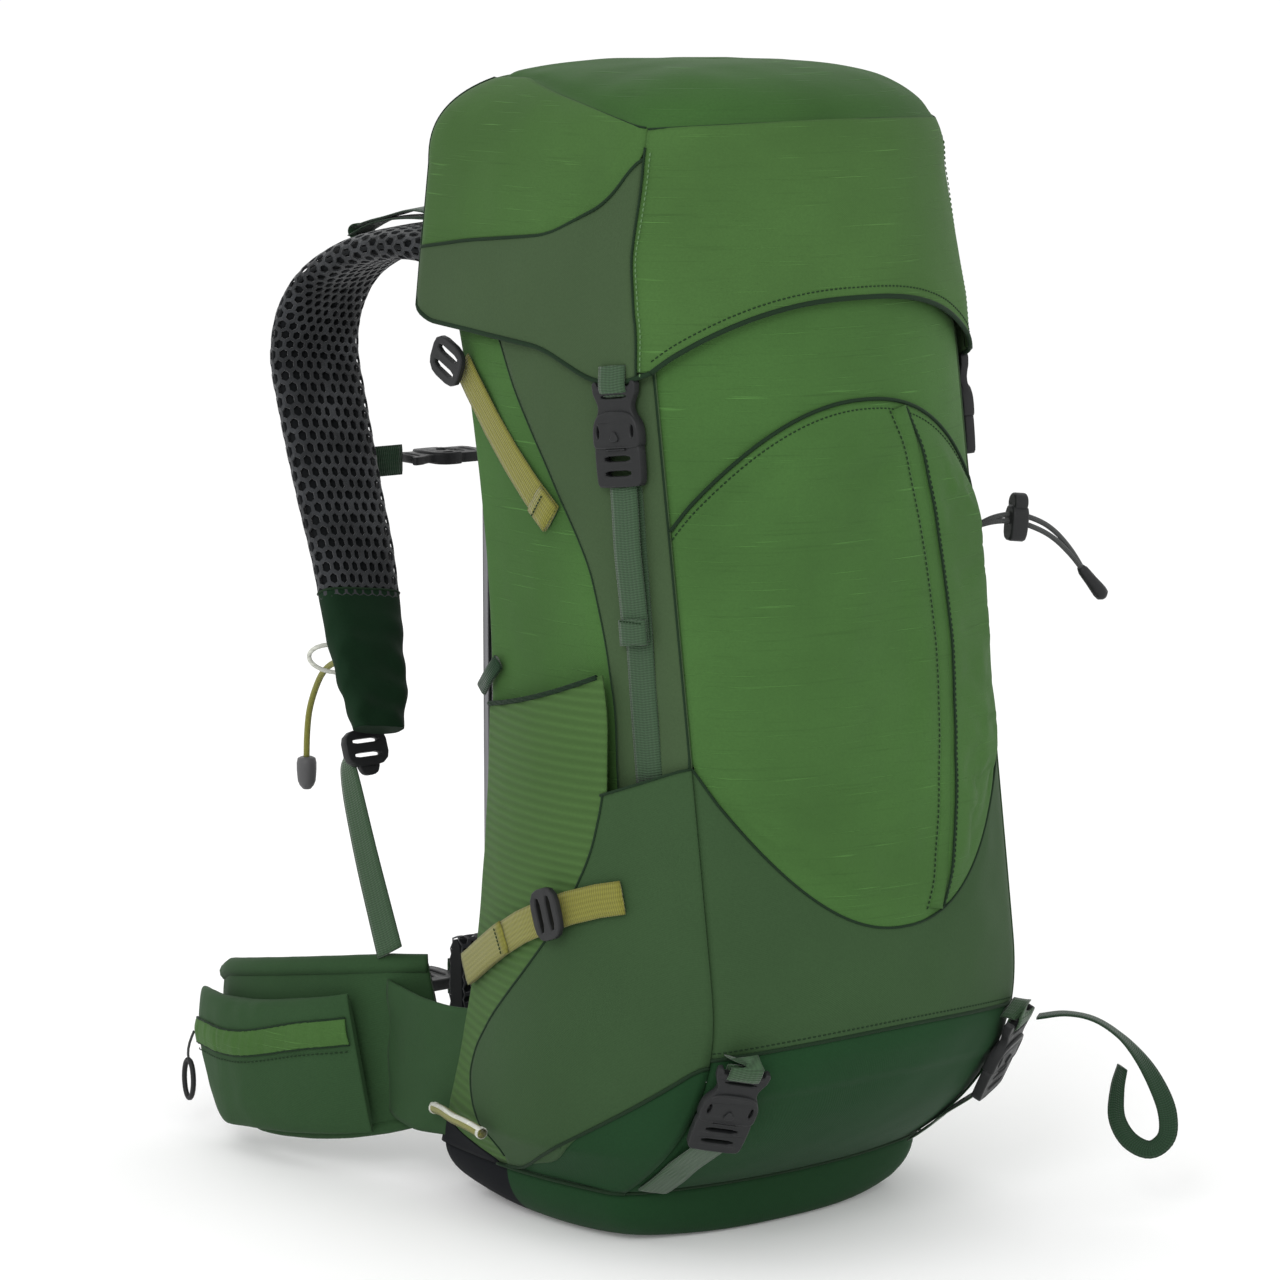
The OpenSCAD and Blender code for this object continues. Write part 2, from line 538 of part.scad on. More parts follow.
// ---- Hip belt ---------------------------------------------------------------------------
wing_route = [[-108, 200, 92], [-124, 214, 88], [-138, 234, 83], [-149, 258, 78], [-156, 286, 73],
              [-160, 314, 69], [-160, 340, 66], [-156, 364, 64], [-148, 384, 62]];
wing_heights = [96, 104, 108, 110, 110, 108, 104, 98, 86];
module hip_wing(side) {
    path = ordered(flip(wing_route, -side), side);
    heights = ordered([for (h = wing_heights) [h]], side);
    d = tangents(path);
    color("darkgreen") pad(path, [for (t = d) unit(cross([0, 0, 1], t))], [for (h = heights) h[0]],
        same(12, len(path)), 16);
}
module left_hip_wing() { hip_wing(LEFT); }
module right_hip_wing() { hip_wing(RIGHT); }
pocket_span = [2, 8];
module hip_pocket(side) {
    path = ordered(flip([for (i = [pocket_span.x : pocket_span.y]) wing_route[i]], -side), side);
    d = tangents(path);
    n = len(path);
    outward = [for (t = d) unit(cross([0, 0, 1], t))];
    color("darkgreen") pad([for (i = [0 : n - 1]) path[i] + outward[i] * 16.2 - [0, 0, 8]], outward,
        [for (i = [0 : n - 1]) 84], [for (i = [0 : n - 1]) 20 * (i == 0 || i == n - 1 ? 0.5 : 1)], 16);
}
module left_hip_pocket() { hip_pocket(LEFT); }
module right_hip_pocket() { hip_pocket(RIGHT); }
hip_web_w = 25;
hip_route = [[-146, 388.5, 62], [-132, 404, 62], [-108, 418, 62], [-82, 426, 62], [-61, 430, 62]];
module hip_web(side) {
    path = ordered(flip(hip_route, -side), side);
    color("darkgreen") ribbon(path, [for (t = tangents(path)) unit(cross([0, 0, 1], t))], hip_web_w, web_t);
}
module left_hip_webbing() { hip_web(LEFT); }
module right_hip_webbing() { hip_web(RIGHT); }
module left_hip_socket() {
    color("black") translate([-16, 431, 62]) rotate([0, -90, 0]) rotate([0, 0, 90]) scale(1.2) socket();
}
module right_hip_plug() {
    color("black") translate([33, 431, 62]) rotate([0, -90, 0]) rotate([0, 0, 90]) scale(1.2) plug();
}

front_panel();
lower_front_panel();
left_side_panel();
right_side_panel();
back_panel();
base_panel();
collar();
collar_drawcord();
collar_cord_lock();
front_pocket();
front_pocket_zip();
left_stretch_pocket();
right_stretch_pocket();
frame();
back_mesh();
lumbar_pad();
haul_loop();
lid_straps();
upper_compression_straps();
compression_strap_sliders();
lower_compression_straps();
pad_straps();
pad_strap_sockets();
ice_axe_loop();
bungee_cord();
bungee_lock();
bungee_pull();
pole_loop();
lid_shell();
lid_floor();
lid_zip();
lid_buckle_webbing();
lid_buckle_sockets();
left_lid_plug();
left_lid_strap_tail();
right_lid_plug();
right_lid_strap_tail();
left_pad_plug();
right_pad_plug();
yoke();
left_shoulder_strap();
right_shoulder_strap();
strap_ladder_locks();
load_lifters();
stow_cord();
stow_toggle();
shoulder_webbing();
sternum_left_webbing();
sternum_socket();
sternum_right_webbing();
sternum_plug();
left_hip_wing();
left_hip_pocket();
left_hip_webbing();
left_hip_socket();
right_hip_wing();
right_hip_pocket();
right_hip_webbing();
right_hip_plug();
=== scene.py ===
"""Looks for a stuffed hiking backpack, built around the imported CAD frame.

Shapes are worked out in millimetres, in the frame's own axes, and MM turns them into metres
as they are written into a mesh. Every wall of the bag is a point (s, z, out): s runs round
the bag's outline as it does in the frame, 0-1 front, 1-2 right, 2-3 back, 3-4 left, z is
the height and out is the distance outside the sewn wall.
"""
import math

import bpy
from mathutils import Matrix, Vector, noise


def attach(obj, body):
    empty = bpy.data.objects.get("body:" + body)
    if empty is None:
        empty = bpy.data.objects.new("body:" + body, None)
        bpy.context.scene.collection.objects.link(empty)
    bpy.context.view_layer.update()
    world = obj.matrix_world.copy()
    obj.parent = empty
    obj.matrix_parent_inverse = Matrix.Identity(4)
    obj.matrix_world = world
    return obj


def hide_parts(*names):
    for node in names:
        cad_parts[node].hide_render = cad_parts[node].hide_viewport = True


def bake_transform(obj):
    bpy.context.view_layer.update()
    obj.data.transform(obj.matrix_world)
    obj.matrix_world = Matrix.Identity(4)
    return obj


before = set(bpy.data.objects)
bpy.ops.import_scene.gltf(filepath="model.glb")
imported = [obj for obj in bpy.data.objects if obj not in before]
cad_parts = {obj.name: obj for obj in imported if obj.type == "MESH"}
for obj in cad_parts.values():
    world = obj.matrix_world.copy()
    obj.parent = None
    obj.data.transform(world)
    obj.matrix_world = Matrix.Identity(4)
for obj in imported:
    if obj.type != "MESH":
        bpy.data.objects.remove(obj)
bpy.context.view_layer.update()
scene = bpy.context.scene
MM = 0.001
LEFT, RIGHT = -1, 1
SIDES = {LEFT: "left", RIGHT: "right"}


# ---- Camera, floor and light -------------------------------------------------------------
VIEW_TURN = math.radians(38)
VIEW_DISTANCE = 2.78
VIEW_HEIGHT = 0.8
LOOK_AT = Vector((-0.0285, 0.0984, 0.35))
LENS = 128.3


def aim(obj, target):
    obj.rotation_euler = (Vector(target) - obj.location).to_track_quat("-Z", "Y").to_euler()


def add_camera():
    camera = bpy.data.objects.new("camera", bpy.data.cameras.new("camera"))
    camera.data.lens = LENS
    camera.location = LOOK_AT - VIEW_DISTANCE * Vector((math.sin(VIEW_TURN), math.cos(VIEW_TURN), 0))
    camera.location.z = VIEW_HEIGHT
    scene.collection.objects.link(camera)
    aim(camera, LOOK_AT)
    scene.camera = camera


def add_light(name, place, size, power, target=(0, 0.05, 0.35)):
    lamp = bpy.data.lights.new(name, "AREA")
    lamp.shape = "DISK"
    lamp.size = size
    lamp.energy = power
    obj = bpy.data.objects.new(name, lamp)
    obj.location = place
    scene.collection.objects.link(obj)
    aim(obj, target)


add_camera()
add_light("key", (-2.3, -1.6, 1.9), 1.2, 26)
add_light("fill", (1.3, -2.6, 1.1), 1.6, 4)
add_light("rear", (0.6, 2.4, 1.8), 1.8, 6)
world = bpy.data.worlds.new("studio")
world.use_nodes = True
world.node_tree.nodes["Background"].inputs["Color"].default_value = (1, 1, 1, 1)
world.node_tree.nodes["Background"].inputs["Strength"].default_value = 1.0
scene.world = world
scene.view_settings.view_transform = "Standard"


# ---- Outline of the bag and its lid ------------------------------------------------------
FRONT_HALF, REAR_HALF = 118, 128
LID_FRONT_HALF, LID_REAR_HALF, LID_REAR_Y = 126, 139, 184
WALL_TOP = 548
TUCK_Z, TUCK = 180, 174
BASE_Z = 34
FLOOR_MIDDLE_Y, FLOOR_HALF_X, FLOOR_HALF_Y, FLOOR_POWER = 80, 106, 86, 2.6
FLOOR_SHARE = 0.55
LID_WALL_Z, CROWN_Z, HINGE_Z = 644, 706, 604


def mix(a, b, u):
    return a + (b - a) * u


def spaced(a, b, n):
    """n + 1 evenly spaced values from a to b."""
    return [mix(a, b, k / n) for k in range(n + 1)]


def ramp(x, a, b):
    """0 below a, 1 above b and smooth between."""
    u = min(max((x - a) / (b - a), 0.0), 1.0)
    return u * u * (3 - 2 * u)


def table(x, stops):
    """Straight lines through (x, y) stops."""
    for (x0, y0), (x1, y1) in zip(stops, stops[1:]):
        if x <= x1:
            return mix(y0, y1, max(0.0, (x - x0) / (x1 - x0)))
    return stops[-1][1]


def smooth_table(x, stops):
    """The same stops, with their corners rounded."""
    reach = (stops[-1][0] - stops[0][0]) / 24
    return sum(table(x + k * reach / 2, stops) for k in (-2, -1, 0, 1, 2)) / 5


def arch(s, power=2.2):
    """1 in the middle of the front and 0 at its two corners."""
    return 1 - abs(2 * min(max(s, 0.0), 1.0) - 1) ** power


def front_y(z):
    """The front leans back a little, and below TUCK_Z it slopes back to the base."""
    return -110 + 0.155 * z + TUCK * (max(0.0, TUCK_Z - z) / TUCK_Z) ** 2.33


def crown(z):
    return (30 + 0.03 * z) * min(1.0, 0.55 + 0.45 * z / 140)


def back_y(z):
    return 122 + 50 * ((z - 320) / 280) ** 2


def outline(s, z):
    s %= 4
    if s < 1:
        return Vector((mix(-FRONT_HALF, FRONT_HALF, s), front_y(z) - crown(z) * arch(s)))
    if s < 2:
        return Vector((side_x(s - 1), mix(front_y(z), back_y(z), s - 1)))
    if s < 3:
        return Vector((mix(REAR_HALF, -REAR_HALF, s - 2), back_y(z)))
    return Vector((-side_x(4 - s), mix(back_y(z), front_y(z), s - 3)))


def side_x(u):
    return mix(FRONT_HALF, REAR_HALF, u) + 10 * math.sin(math.pi * u)


def lid_outline(s, z):
    s %= 4
    if s < 1:
        return Vector((mix(-1, 1, s) * lid_side_x(0, z), front_y(z) - 6 - crown(z) * arch(s)))
    if 2 <= s < 3:
        return Vector((mix(1, -1, s - 2) * lid_side_x(1, z), LID_REAR_Y))
    u = s - 1 if s < 2 else 4 - s
    x = lid_side_x(u, z)
    return Vector((x if s < 2 else -x, mix(front_y(z) - 6, LID_REAR_Y, u)))


def lid_side_x(u, z):
    taper = 1 - 0.0009 * max(0, z - 565)
    return taper * (mix(LID_FRONT_HALF, LID_REAR_HALF, u) + 8 * math.sin(math.pi * u))


def rounded(shape, s, z, reach=0.05):
    """The outline with its four corners rounded, as stuffed cloth is."""
    return sum((shape(s + k * reach / 2, z) for k in (-2, -1, 0, 1, 2)), Vector((0, 0))) / 5


def outward(shape, s, z):
    d = (shape(s + 0.02, z) - shape(s - 0.02, z)).normalized()
    return Vector((d.y, -d.x))


def flat_outward(s, z, shape=outline):
    """The same direction as a level vector in space."""
    return Vector((*outward(shape, s, z), 0))


def skin(s, z, out=0.0, shape=outline):
    p = rounded(shape, s, z) + out * outward(shape, s, z)
    return Vector((p.x, p.y, z))


def mirrored(s, side):
    """A place on the left side, 3 at the rear and 4 at the front, moved to the given side."""
    return s if side == LEFT else 5 - s


def wrap_top(s):
    return 204 + 100 * (1 - arch(s))


def pocket_top(s):
    return 440 + 72 * arch(s)


def front_top(s):
    return WALL_TOP + 30 * arch(s, 2)


def pad_seam(s):
    return 134 + 11 * arch(s, 2)


def stretch_gap(u, z):
    """How far a side pocket stands out, u being 0 at the front corner and 1 at the rear."""
    lift = 4 + 20 * max(0.0, 1 - abs(z - 110) / 330) ** 0.7
    return 0.8 + lift * math.sin(math.pi * min(max(u, 0), 1)) * min(1.0, max(0.0, (z - 34) / 30))


def stretch_top(u):
    return mix(376, 318, u) - 8 * math.sin(math.pi * u)


BAND_REAR = [(284, 3.71), (330, 3.725), (372, 3.70), (420, 3.65), (464, 3.51), (508, 3.37), (560, 3.27)]
WRAP_REAR = [(30, 3.50), (56, 3.42), (68, 3.30), (80, 3.20), (104, 3.18), (136, 3.27), (172, 3.42),
             (208, 3.56), (248, 3.665), (284, 3.712), (300, 3.72)]
SIDE_PAD_SEAM = [(3.40, 34), (3.56, 38), (3.725, 74), (3.875, 105), (4.0, 131)]


# ---- Making meshes -----------------------------------------------------------------------
def make(name, points, faces, material, uvs=None, smooth=True):
    mesh = bpy.data.meshes.new(name)
    mesh.from_pydata([tuple(Vector(p) * MM) for p in points], [], faces)
    if uvs:
        layer = mesh.uv_layers.new(name="UVMap")
        for loop in mesh.loops:
            layer.data[loop.index].uv = uvs[loop.vertex_index]
    for face in mesh.polygons:
        face.use_smooth = smooth
    mesh.materials.append(material)
    obj = bpy.data.objects.new(name, mesh)
    scene.collection.objects.link(obj)
    return obj


def solid(obj, thickness, offset=-1.0):
    shell = obj.modifiers.new("thickness", "SOLIDIFY")
    shell.thickness = thickness * MM
    shell.offset = offset
    shell.use_even_offset = False
    return obj


def ring_quads(rows, around):
    """Quads between neighbouring closed rings of points, and the two caps."""
    quads = []
    for j in range(rows - 1):
        for k in range(around):
            following = (k + 1) % around
            low, high = j * around, (j + 1) * around
            quads.append((low + k, low + following, high + following, high + k))
    quads.append(tuple(range(around - 1, -1, -1)))
    quads.append(tuple((rows - 1) * around + k for k in range(around)))
    return quads


def grid(name, at, nu, nv, material, loop_u=False, loop_v=False, uv=None, smooth=True):
    """A net of quads over at(u, v), u and v from 0 to 1; it faces u cross v."""
    cu = nu if loop_u else nu + 1
    cv = nv if loop_v else nv + 1
    points = [at(i / nu, j / nv) for j in range(cv) for i in range(cu)]
    faces = [(j * cu + i, j * cu + (i + 1) % cu, (j + 1) % cv * cu + (i + 1) % cu, (j + 1) % cv * cu + i)
             for j in range(nv) for i in range(nu)]
    uvs = [uv(i / nu, j / nv) for j in range(cv) for i in range(cu)] if uv else None
    return make(name, points, faces, material, uvs, smooth)


def curve_through(path, per_span=6):
    """Points of a smooth curve through every point of the path."""
    pts = [Vector(p) for p in path]
    ends = [2 * pts[0] - pts[1]] + pts + [2 * pts[-1] - pts[-2]]
    out = []
    for a, b, c, d in zip(ends, ends[1:], ends[2:], ends[3:]):
        for k in range(per_span):
            t = k / per_span
            out.append(0.5 * (2 * b + (c - a) * t + (2 * a - 5 * b + 4 * c - d) * t * t
                              + (3 * b - a - 3 * c + d) * t ** 3))
    return out + [pts[-1]]


def tangents(path):
    last = len(path) - 1
    return [(path[min(i + 1, last)] - path[max(i - 1, 0)]).normalized() for i in range(last + 1)]


def lengths(path):
    run = [0.0]
    for a, b in zip(path, path[1:]):
        run.append(run[-1] + (b - a).length)
    return run


def at_share(path, u):
    """The point that lies the share u along a path."""
    x = min(max(u, 0.0), 1.0) * (len(path) - 1)
    i = min(int(x), len(path) - 2)
    return path[i].lerp(path[i + 1], x - i)


def tube(name, path, radius, material, sides=10, taper=None):
    """A round piping, cord or rod along a path, closed at both ends."""
    path = [Vector(p) for p in path]
    run = lengths(path)
    points = []
    uvs = []
    side = None
    for i, (p, d) in enumerate(zip(path, tangents(path))):
        guess = side if side else d.orthogonal()
        side = (guess - guess.dot(d) * d).normalized()
        up = d.cross(side)
        r = radius * (taper(i / (len(path) - 1)) if taper else 1)
        for k in range(sides):
            a = 2 * math.pi * k / sides
            points.append(p + r * (side * math.cos(a) + up * math.sin(a)))
            uvs.append((k / sides * 2 * math.pi * radius * MM, run[i] * MM))
    return make(name, points, ring_quads(len(path), sides), material, uvs)


def ribbon(name, path, faces, material, width=20, thick=1.6, bow=0.0):
    """Flat webbing with round edges; faces says which way its flat side looks at each point."""
    run = lengths(path)
    steps = 6
    ring = [(mix(-1, 1, k / steps), 1) for k in range(steps + 1)]
    ring += [(x, -1) for x, _ in reversed(ring)]
    points = []
    uvs = []
    for i, (p, d) in enumerate(zip(path, tangents(path))):
        across = d.cross(Vector(faces[i])).normalized()
        up = across.cross(d).normalized()
        for x, y in ring:
            edge = 0.45 if abs(x) == 1 else 1.0
            points.append(p + across * x * width / 2 + up * (y * edge * thick / 2 - bow * x * x))
            uvs.append((x * 0.5 + 0.5, run[i] * MM))
    return make(name, points, ring_quads(len(path), len(ring)), material, uvs)


def section(a, width, thick):
    """A point of a flat, full cross-section, as a foam pad's."""
    c, e = math.cos(a), math.sin(a)
    return (width / 2 * math.copysign(abs(c) ** 0.55, c), thick / 2 * math.copysign(abs(e) ** 0.75, e))


def pad_surface(path, faces, widths, thicks, grow=0.0):
    """A function of (u round, v along) over a padded strip."""
    dirs = tangents(path)

    def at(u, v):
        p = at_share(path, v)
        d = at_share(dirs, v).normalized()
        across = d.cross(at_share(faces, v)).normalized()
        up = across.cross(d).normalized()
        w = table(v, widths) + 2 * grow
        t = table(v, thicks) + 2 * grow
        x, y = section(2 * math.pi * u, w, t)
        return p + across * x + up * y

    return at


def even(values):
    """Stops at even shares for a list of values."""
    return [(i / (len(values) - 1), v) for i, v in enumerate(values)]


def pad(name, at, material, nu=40, nv=60, ends=6):
    """A closed padded strip, with its two ends drawn in to a soft edge."""
    rows = [(v, 1.0) for v in spaced(0, 1, nv)]
    shares = [1 - (k + 1) / ends for k in range(ends)]
    caps = [math.sqrt(max(0.0, 1 - (1 - g) ** 2)) for g in shares]
    rows = [(0.0, g) for g in reversed(caps)] + rows + [(1.0, g) for g in caps]
    points = []
    for v, g in rows:
        ring = [at(i / nu, v) for i in range(nu)]
        middle = sum(ring, Vector()) / nu
        g = max(g, 0.02)
        points += [middle + (p - middle) * g for p in ring]
    return make(name, points, ring_quads(len(rows), nu), material)


def even_turns(width, thick, n=240):
    """Turns a share of the way round a pad's section into the u that pad_surface takes."""
    ring = [Vector(section(2 * math.pi * k / n, width, thick)) for k in range(n + 1)]
    run = lengths(ring)
    stops = [(r / run[-1], k / n) for k, r in enumerate(run)]
    return lambda u: table(u, stops)


def honeycomb(name, at, columns, rows, hole, material, thick=1.0, closed=True):
    """A net of hexagonal holes over at(u, v); closed nets join up round u."""
    points = []
    index = {}
    faces = []

    def corner(u, v):
        key = (round((u % 1 if closed else u) * columns * 6), round(v * rows * 12))
        if key not in index:
            index[key] = len(points)
            points.append(at(u % 1 if closed else u, min(max(v, 0), 1)))
        return index[key]

    turns = [math.radians(30 + 60 * k) for k in range(6)]
    for j in range(rows):
        for i in range(columns if closed or j % 2 == 0 else columns - 1):
            u = (i + 0.5 + 0.5 * (j % 2)) / columns
            v = (j + 0.5) / rows
            rim = [(u + math.cos(a) / math.sqrt(3) / columns, v + math.sin(a) * 2 / 3 / rows) for a in turns]
            outer = [corner(*p) for p in rim]
            start = len(points)
            for a in turns:
                x = u + hole * math.cos(a) / math.sqrt(3) / columns
                y = v + hole * math.sin(a) * 2 / 3 / rows
                points.append(at(x % 1 if closed else x, min(max(y, 0), 1)))
            for k in range(6):
                m = (k + 1) % 6
                faces.append((outer[k], outer[m], start + m, start + k))
    obj = make(name, points, faces, material, smooth=False)
    return solid(obj, thick)


def stitches(name, path, normals, material, pitch=3.2, size=(2.1, 0.7, 0.5)):
    """A row of sewing stitches that lie on a surface along a path."""
    path = [Vector(p) for p in path]
    run = lengths(path)
    dirs = tangents(path)
    length, width, height = size
    points = []
    faces = []
    for k in range(int(run[-1] / pitch)):
        goal = (k + 0.5) * pitch
        i = next(n for n, r in enumerate(run) if r >= goal) - 1
        u = (goal - run[i]) / (run[i + 1] - run[i])
        p = path[i].lerp(path[i + 1], u)
        d = dirs[i]
        n = Vector(normals[i]).normalized()
        w = d.cross(n).normalized()
        b = len(points)
        for x, h in ((-1, 0.1), (-0.5, 1), (0.5, 1), (1, 0.1)):
            for y in (-1, 1):
                points.append(p + d * x * length / 2 + w * y * width / 2 + n * h * height)
        faces += [(b + q, b + q + 2, b + q + 3, b + q + 1) for q in (0, 2, 4)]
        faces += [(b, b + 6, b + 4, b + 2), (b + 1, b + 3, b + 5, b + 7)]
        faces.append((b, b + 1, b + 7, b + 6))
    return make(name, points, faces, material, smooth=False)


def merged(name, pieces):
    """Several meshes as one object, their materials kept."""
    points = []
    faces = []
    slots = []
    materials = []
    for obj in pieces:
        base = len(points)
        points += [obj.matrix_world @ v.co / MM for v in obj.data.vertices]
        for m in obj.data.materials:
            if m not in materials:
                materials.append(m)
        for face in obj.data.polygons:
            faces.append(tuple(base + v for v in face.vertices))
            slots.append((materials.index(obj.data.materials[face.material_index]), face.use_smooth))
        bpy.data.objects.remove(obj)
    whole = make(name, points, faces, materials[0])
    for m in materials[1:]:
        whole.data.materials.append(m)
    for face, (slot, smooth) in zip(whole.data.polygons, slots):
        face.material_index = slot
        face.use_smooth = smooth
    return whole


def place(obj, matrix):
    """Moves a mesh made at the origin to where it belongs; the object itself stays put."""
    turn = matrix.copy()
    turn.translation = matrix.translation * MM
    obj.data.transform(turn)
    return obj


def steps_from(obj, held):
    """How many edges away from the held vertices each vertex of a mesh is."""
    near = [[] for _ in obj.data.vertices]
    for edge in obj.data.edges:
        a, b = edge.vertices
        near[a].append(b)
        near[b].append(a)
    queue = sorted(held)
    steps = dict.fromkeys(queue, 0)
    for i in queue:
        for k in near[i]:
            if k not in steps:
                steps[k] = steps[i] + 1
                queue.append(k)
    return steps


def relax(obj, held, pressure, slack, cap, frames=12, bend=0.3):
    """Fills a sewn panel by cloth simulation, its held vertices fixed, and keeps the result."""
    rest = [v.co.copy() for v in obj.data.vertices]
    group = obj.vertex_groups.new(name="pinned")
    group.add(sorted(held), 1.0, "REPLACE")
    sim = obj.modifiers.new("cloth", "CLOTH")
    sim.settings.vertex_group_mass = "pinned"
    sim.settings.use_pressure = True
    sim.settings.uniform_pressure_force = pressure
    sim.settings.shrink_min = -slack
    sim.settings.effector_weights.gravity = 0
    sim.settings.quality = 5
    sim.settings.bending_stiffness = bend
    sim.point_cache.frame_start = 1
    sim.point_cache.frame_end = frames
    for f in range(1, frames + 1):
        scene.frame_set(f)
    shape = obj.evaluated_get(bpy.context.evaluated_depsgraph_get()).to_mesh()
    moved = [v.co.copy() for v in shape.vertices]
    obj.modifiers.remove(sim)
    obj.vertex_groups.remove(group)
    scene.frame_set(1)
    steps = steps_from(obj, held)
    for v, a, b in zip(obj.data.vertices, rest, moved):
        step = b - a
        v.co = a + step * min(1.0, cap * MM / max(step.length, 1e-9)) * ramp(steps[v.index], 2, 8)
    return obj


# ---- Materials ---------------------------------------------------------------------------
class Look:
    """One material's node tree. A value is a number, a colour or another node's output."""

    def __init__(self, name, roughness=0.6, sheen=0.0, metallic=0.0):
        self.material = bpy.data.materials.new(name)
        self.material.use_nodes = True
        self.nodes = self.material.node_tree.nodes
        self.links = self.material.node_tree.links
        self.shader = self.nodes["Principled BSDF"]
        self.shader.inputs["Roughness"].default_value = roughness
        self.shader.inputs["Metallic"].default_value = metallic
        self.shader.inputs["Sheen Weight"].default_value = sheen
        self.shader.inputs["Sheen Roughness"].default_value = 0.45
        self.shader.inputs["Specular IOR Level"].default_value = 0.1
        self.place = self.add("TexCoord", out=3)
        self.uv = self.add("TexCoord", out=2)

    def put(self, socket, value):
        if isinstance(value, bpy.types.NodeSocket):
            self.links.new(value, socket)
        else:
            socket.default_value = value

    def add(self, kind, *values, out=0, settings=None, **named):
        node = self.nodes.new("ShaderNode" + kind)
        for key, value in (settings or {}).items():
            setattr(node, key, value)
        for i, value in enumerate(values):
            if value is not None:
                self.put(node.inputs[i], value)
        for key, value in named.items():
            self.put(node.inputs[key.replace("_", " ")], value)
        return node.outputs[out]

    def math(self, operation, a, b=0.0):
        return self.add("Math", a, b, settings={"operation": operation})

    def spread(self, value, low, high, to_low=0.0, to_high=1.0):
        return self.add("MapRange", value, low, high, to_low, to_high)

    def noise(self, scale, detail=2.0, stretch=(1, 1, 1), where=None):
        moved = self.add("Mapping", where or self.place, Scale=stretch)
        return self.add("TexNoise", Vector=moved, Scale=scale, Detail=detail)

    def bands(self, scale, axis="Z", where=None, distort=0.0):
        return self.add("TexWave", Vector=where or self.place, Scale=scale, Distortion=distort,
                        settings={"bands_direction": axis}, out=1)

    def uv_parts(self):
        parts = self.nodes.new("ShaderNodeSeparateXYZ")
        self.links.new(self.uv, parts.inputs[0])
        return parts.outputs[0], parts.outputs[1]

    def blend(self, share, a, b):
        node = self.nodes.new("ShaderNodeMix")
        node.data_type = "RGBA"
        self.put(node.inputs[0], share)
        self.put(node.inputs[6], a)
        self.put(node.inputs[7], b)
        return node.outputs[2]

    def sum(self, *terms):
        """Adds up (value, weight) terms."""
        total = 0.0
        for value, weight in terms:
            part = self.math("MULTIPLY", value, weight)
            total = self.math("ADD", part, total)
        return total

    def done(self, color, height=None, depth=0.0002, roughness=None):
        self.put(self.shader.inputs["Base Color"], color)
        if roughness is not None:
            self.put(self.shader.inputs["Roughness"], roughness)
        if height is not None:
            bump = self.add("Bump", Strength=1.0, Distance=depth, Height=height)
            self.links.new(bump, self.shader.inputs["Normal"])
        return self.material


def tone(color, k):
    return (*(min(c * k, 1.0) for c in color), 1.0)


def cloth(name, color, slub=0.0, rib=0.0, grid_lines=0.0, mottle=0.12, rough=0.74, sheen=0.03, creases=0.0):
    """Nylon cloth: a plain weave, with slubs, ribs or a ripstop grid where they are asked for."""
    look = Look(name, rough, sheen)
    patchy = look.spread(look.noise(11, 4), 0.3, 0.7)
    base = look.blend(patchy, tone(color, 1 - mottle), tone(color, 1 + mottle))
    weave = look.sum((look.bands(430, "Z"), 0.5), (look.bands(430, "DIAGONAL"), 0.5))
    height = look.sum((weave, 0.10), (look.noise(1900, 2), 0.10))
    base = look.blend(look.spread(look.noise(700, 2), 0.25, 0.75, 0.0, 0.35), base, tone(color, 0.72))
    if slub:
        thread = look.noise(1.0, 1.5, (20, 20, 900))
        thin = look.spread(thread, 0.64, 0.76)
        dark = look.spread(look.noise(1.0, 1.5, (16, 16, 700)), 0.62, 0.80)
        base = look.blend(look.math("MULTIPLY", thin, slub), base, tone(color, 1.75))
        base = look.blend(look.math("MULTIPLY", dark, slub * 0.7), base, tone(color, 0.6))
        height = look.sum((height, 1.0), (thin, 0.5))
    if rib:
        line = look.bands(1 / (rib * MM) * 0.159, "Z", distort=0.4)
        base = look.blend(look.math("MULTIPLY", line, 0.42), base, tone(color, 0.55))
        height = look.sum((height, 1.0), (line, -1.0))
    if grid_lines:
        across = look.spread(look.bands(40, "Z"), 0.94, 1.0)
        along = look.spread(look.bands(28, "DIAGONAL"), 0.96, 1.0)
        lines = look.math("MAXIMUM", across, along)
        base = look.blend(look.math("MULTIPLY", lines, grid_lines), base, tone(color, 1.5))
    if creases:
        fold = look.noise(20, 4, (1, 1, 1.8))
        height = look.sum((height, 1.0), (fold, creases))
    return look.done(base, height, 0.0006)


def webbing(name, color, pitch=1.5):
    """Woven tape: fine ribs across, a herringbone through them and denser edges. u runs across."""
    look = Look(name, 0.55, 0.2)
    u, v = look.uv_parts()
    middle = look.math("ABSOLUTE", look.math("SUBTRACT", u, 0.5))
    slant = look.math("MULTIPLY", middle, 0.0022)
    phase = look.math("MULTIPLY", look.math("ADD", v, slant), 2 * math.pi / (pitch * MM))
    rib = look.spread(look.math("SINE", phase), -1.0, 1.0)
    column = look.spread(look.math("SINE", look.math("MULTIPLY", u, 2 * math.pi * 7)), -1.0, 1.0)
    edge = look.spread(middle, 0.43, 0.47)
    shade = look.sum((rib, 0.55), (column, 0.25), (look.noise(900, 2), 0.2))
    base = look.blend(shade, tone(color, 0.62), tone(color, 1.25))
    base = look.blend(look.math("MULTIPLY", edge, 0.5), base, tone(color, 0.6))
    height = look.sum((rib, 0.7), (column, 0.3), (edge, 0.6))
    return look.done(base, height, 0.00035)


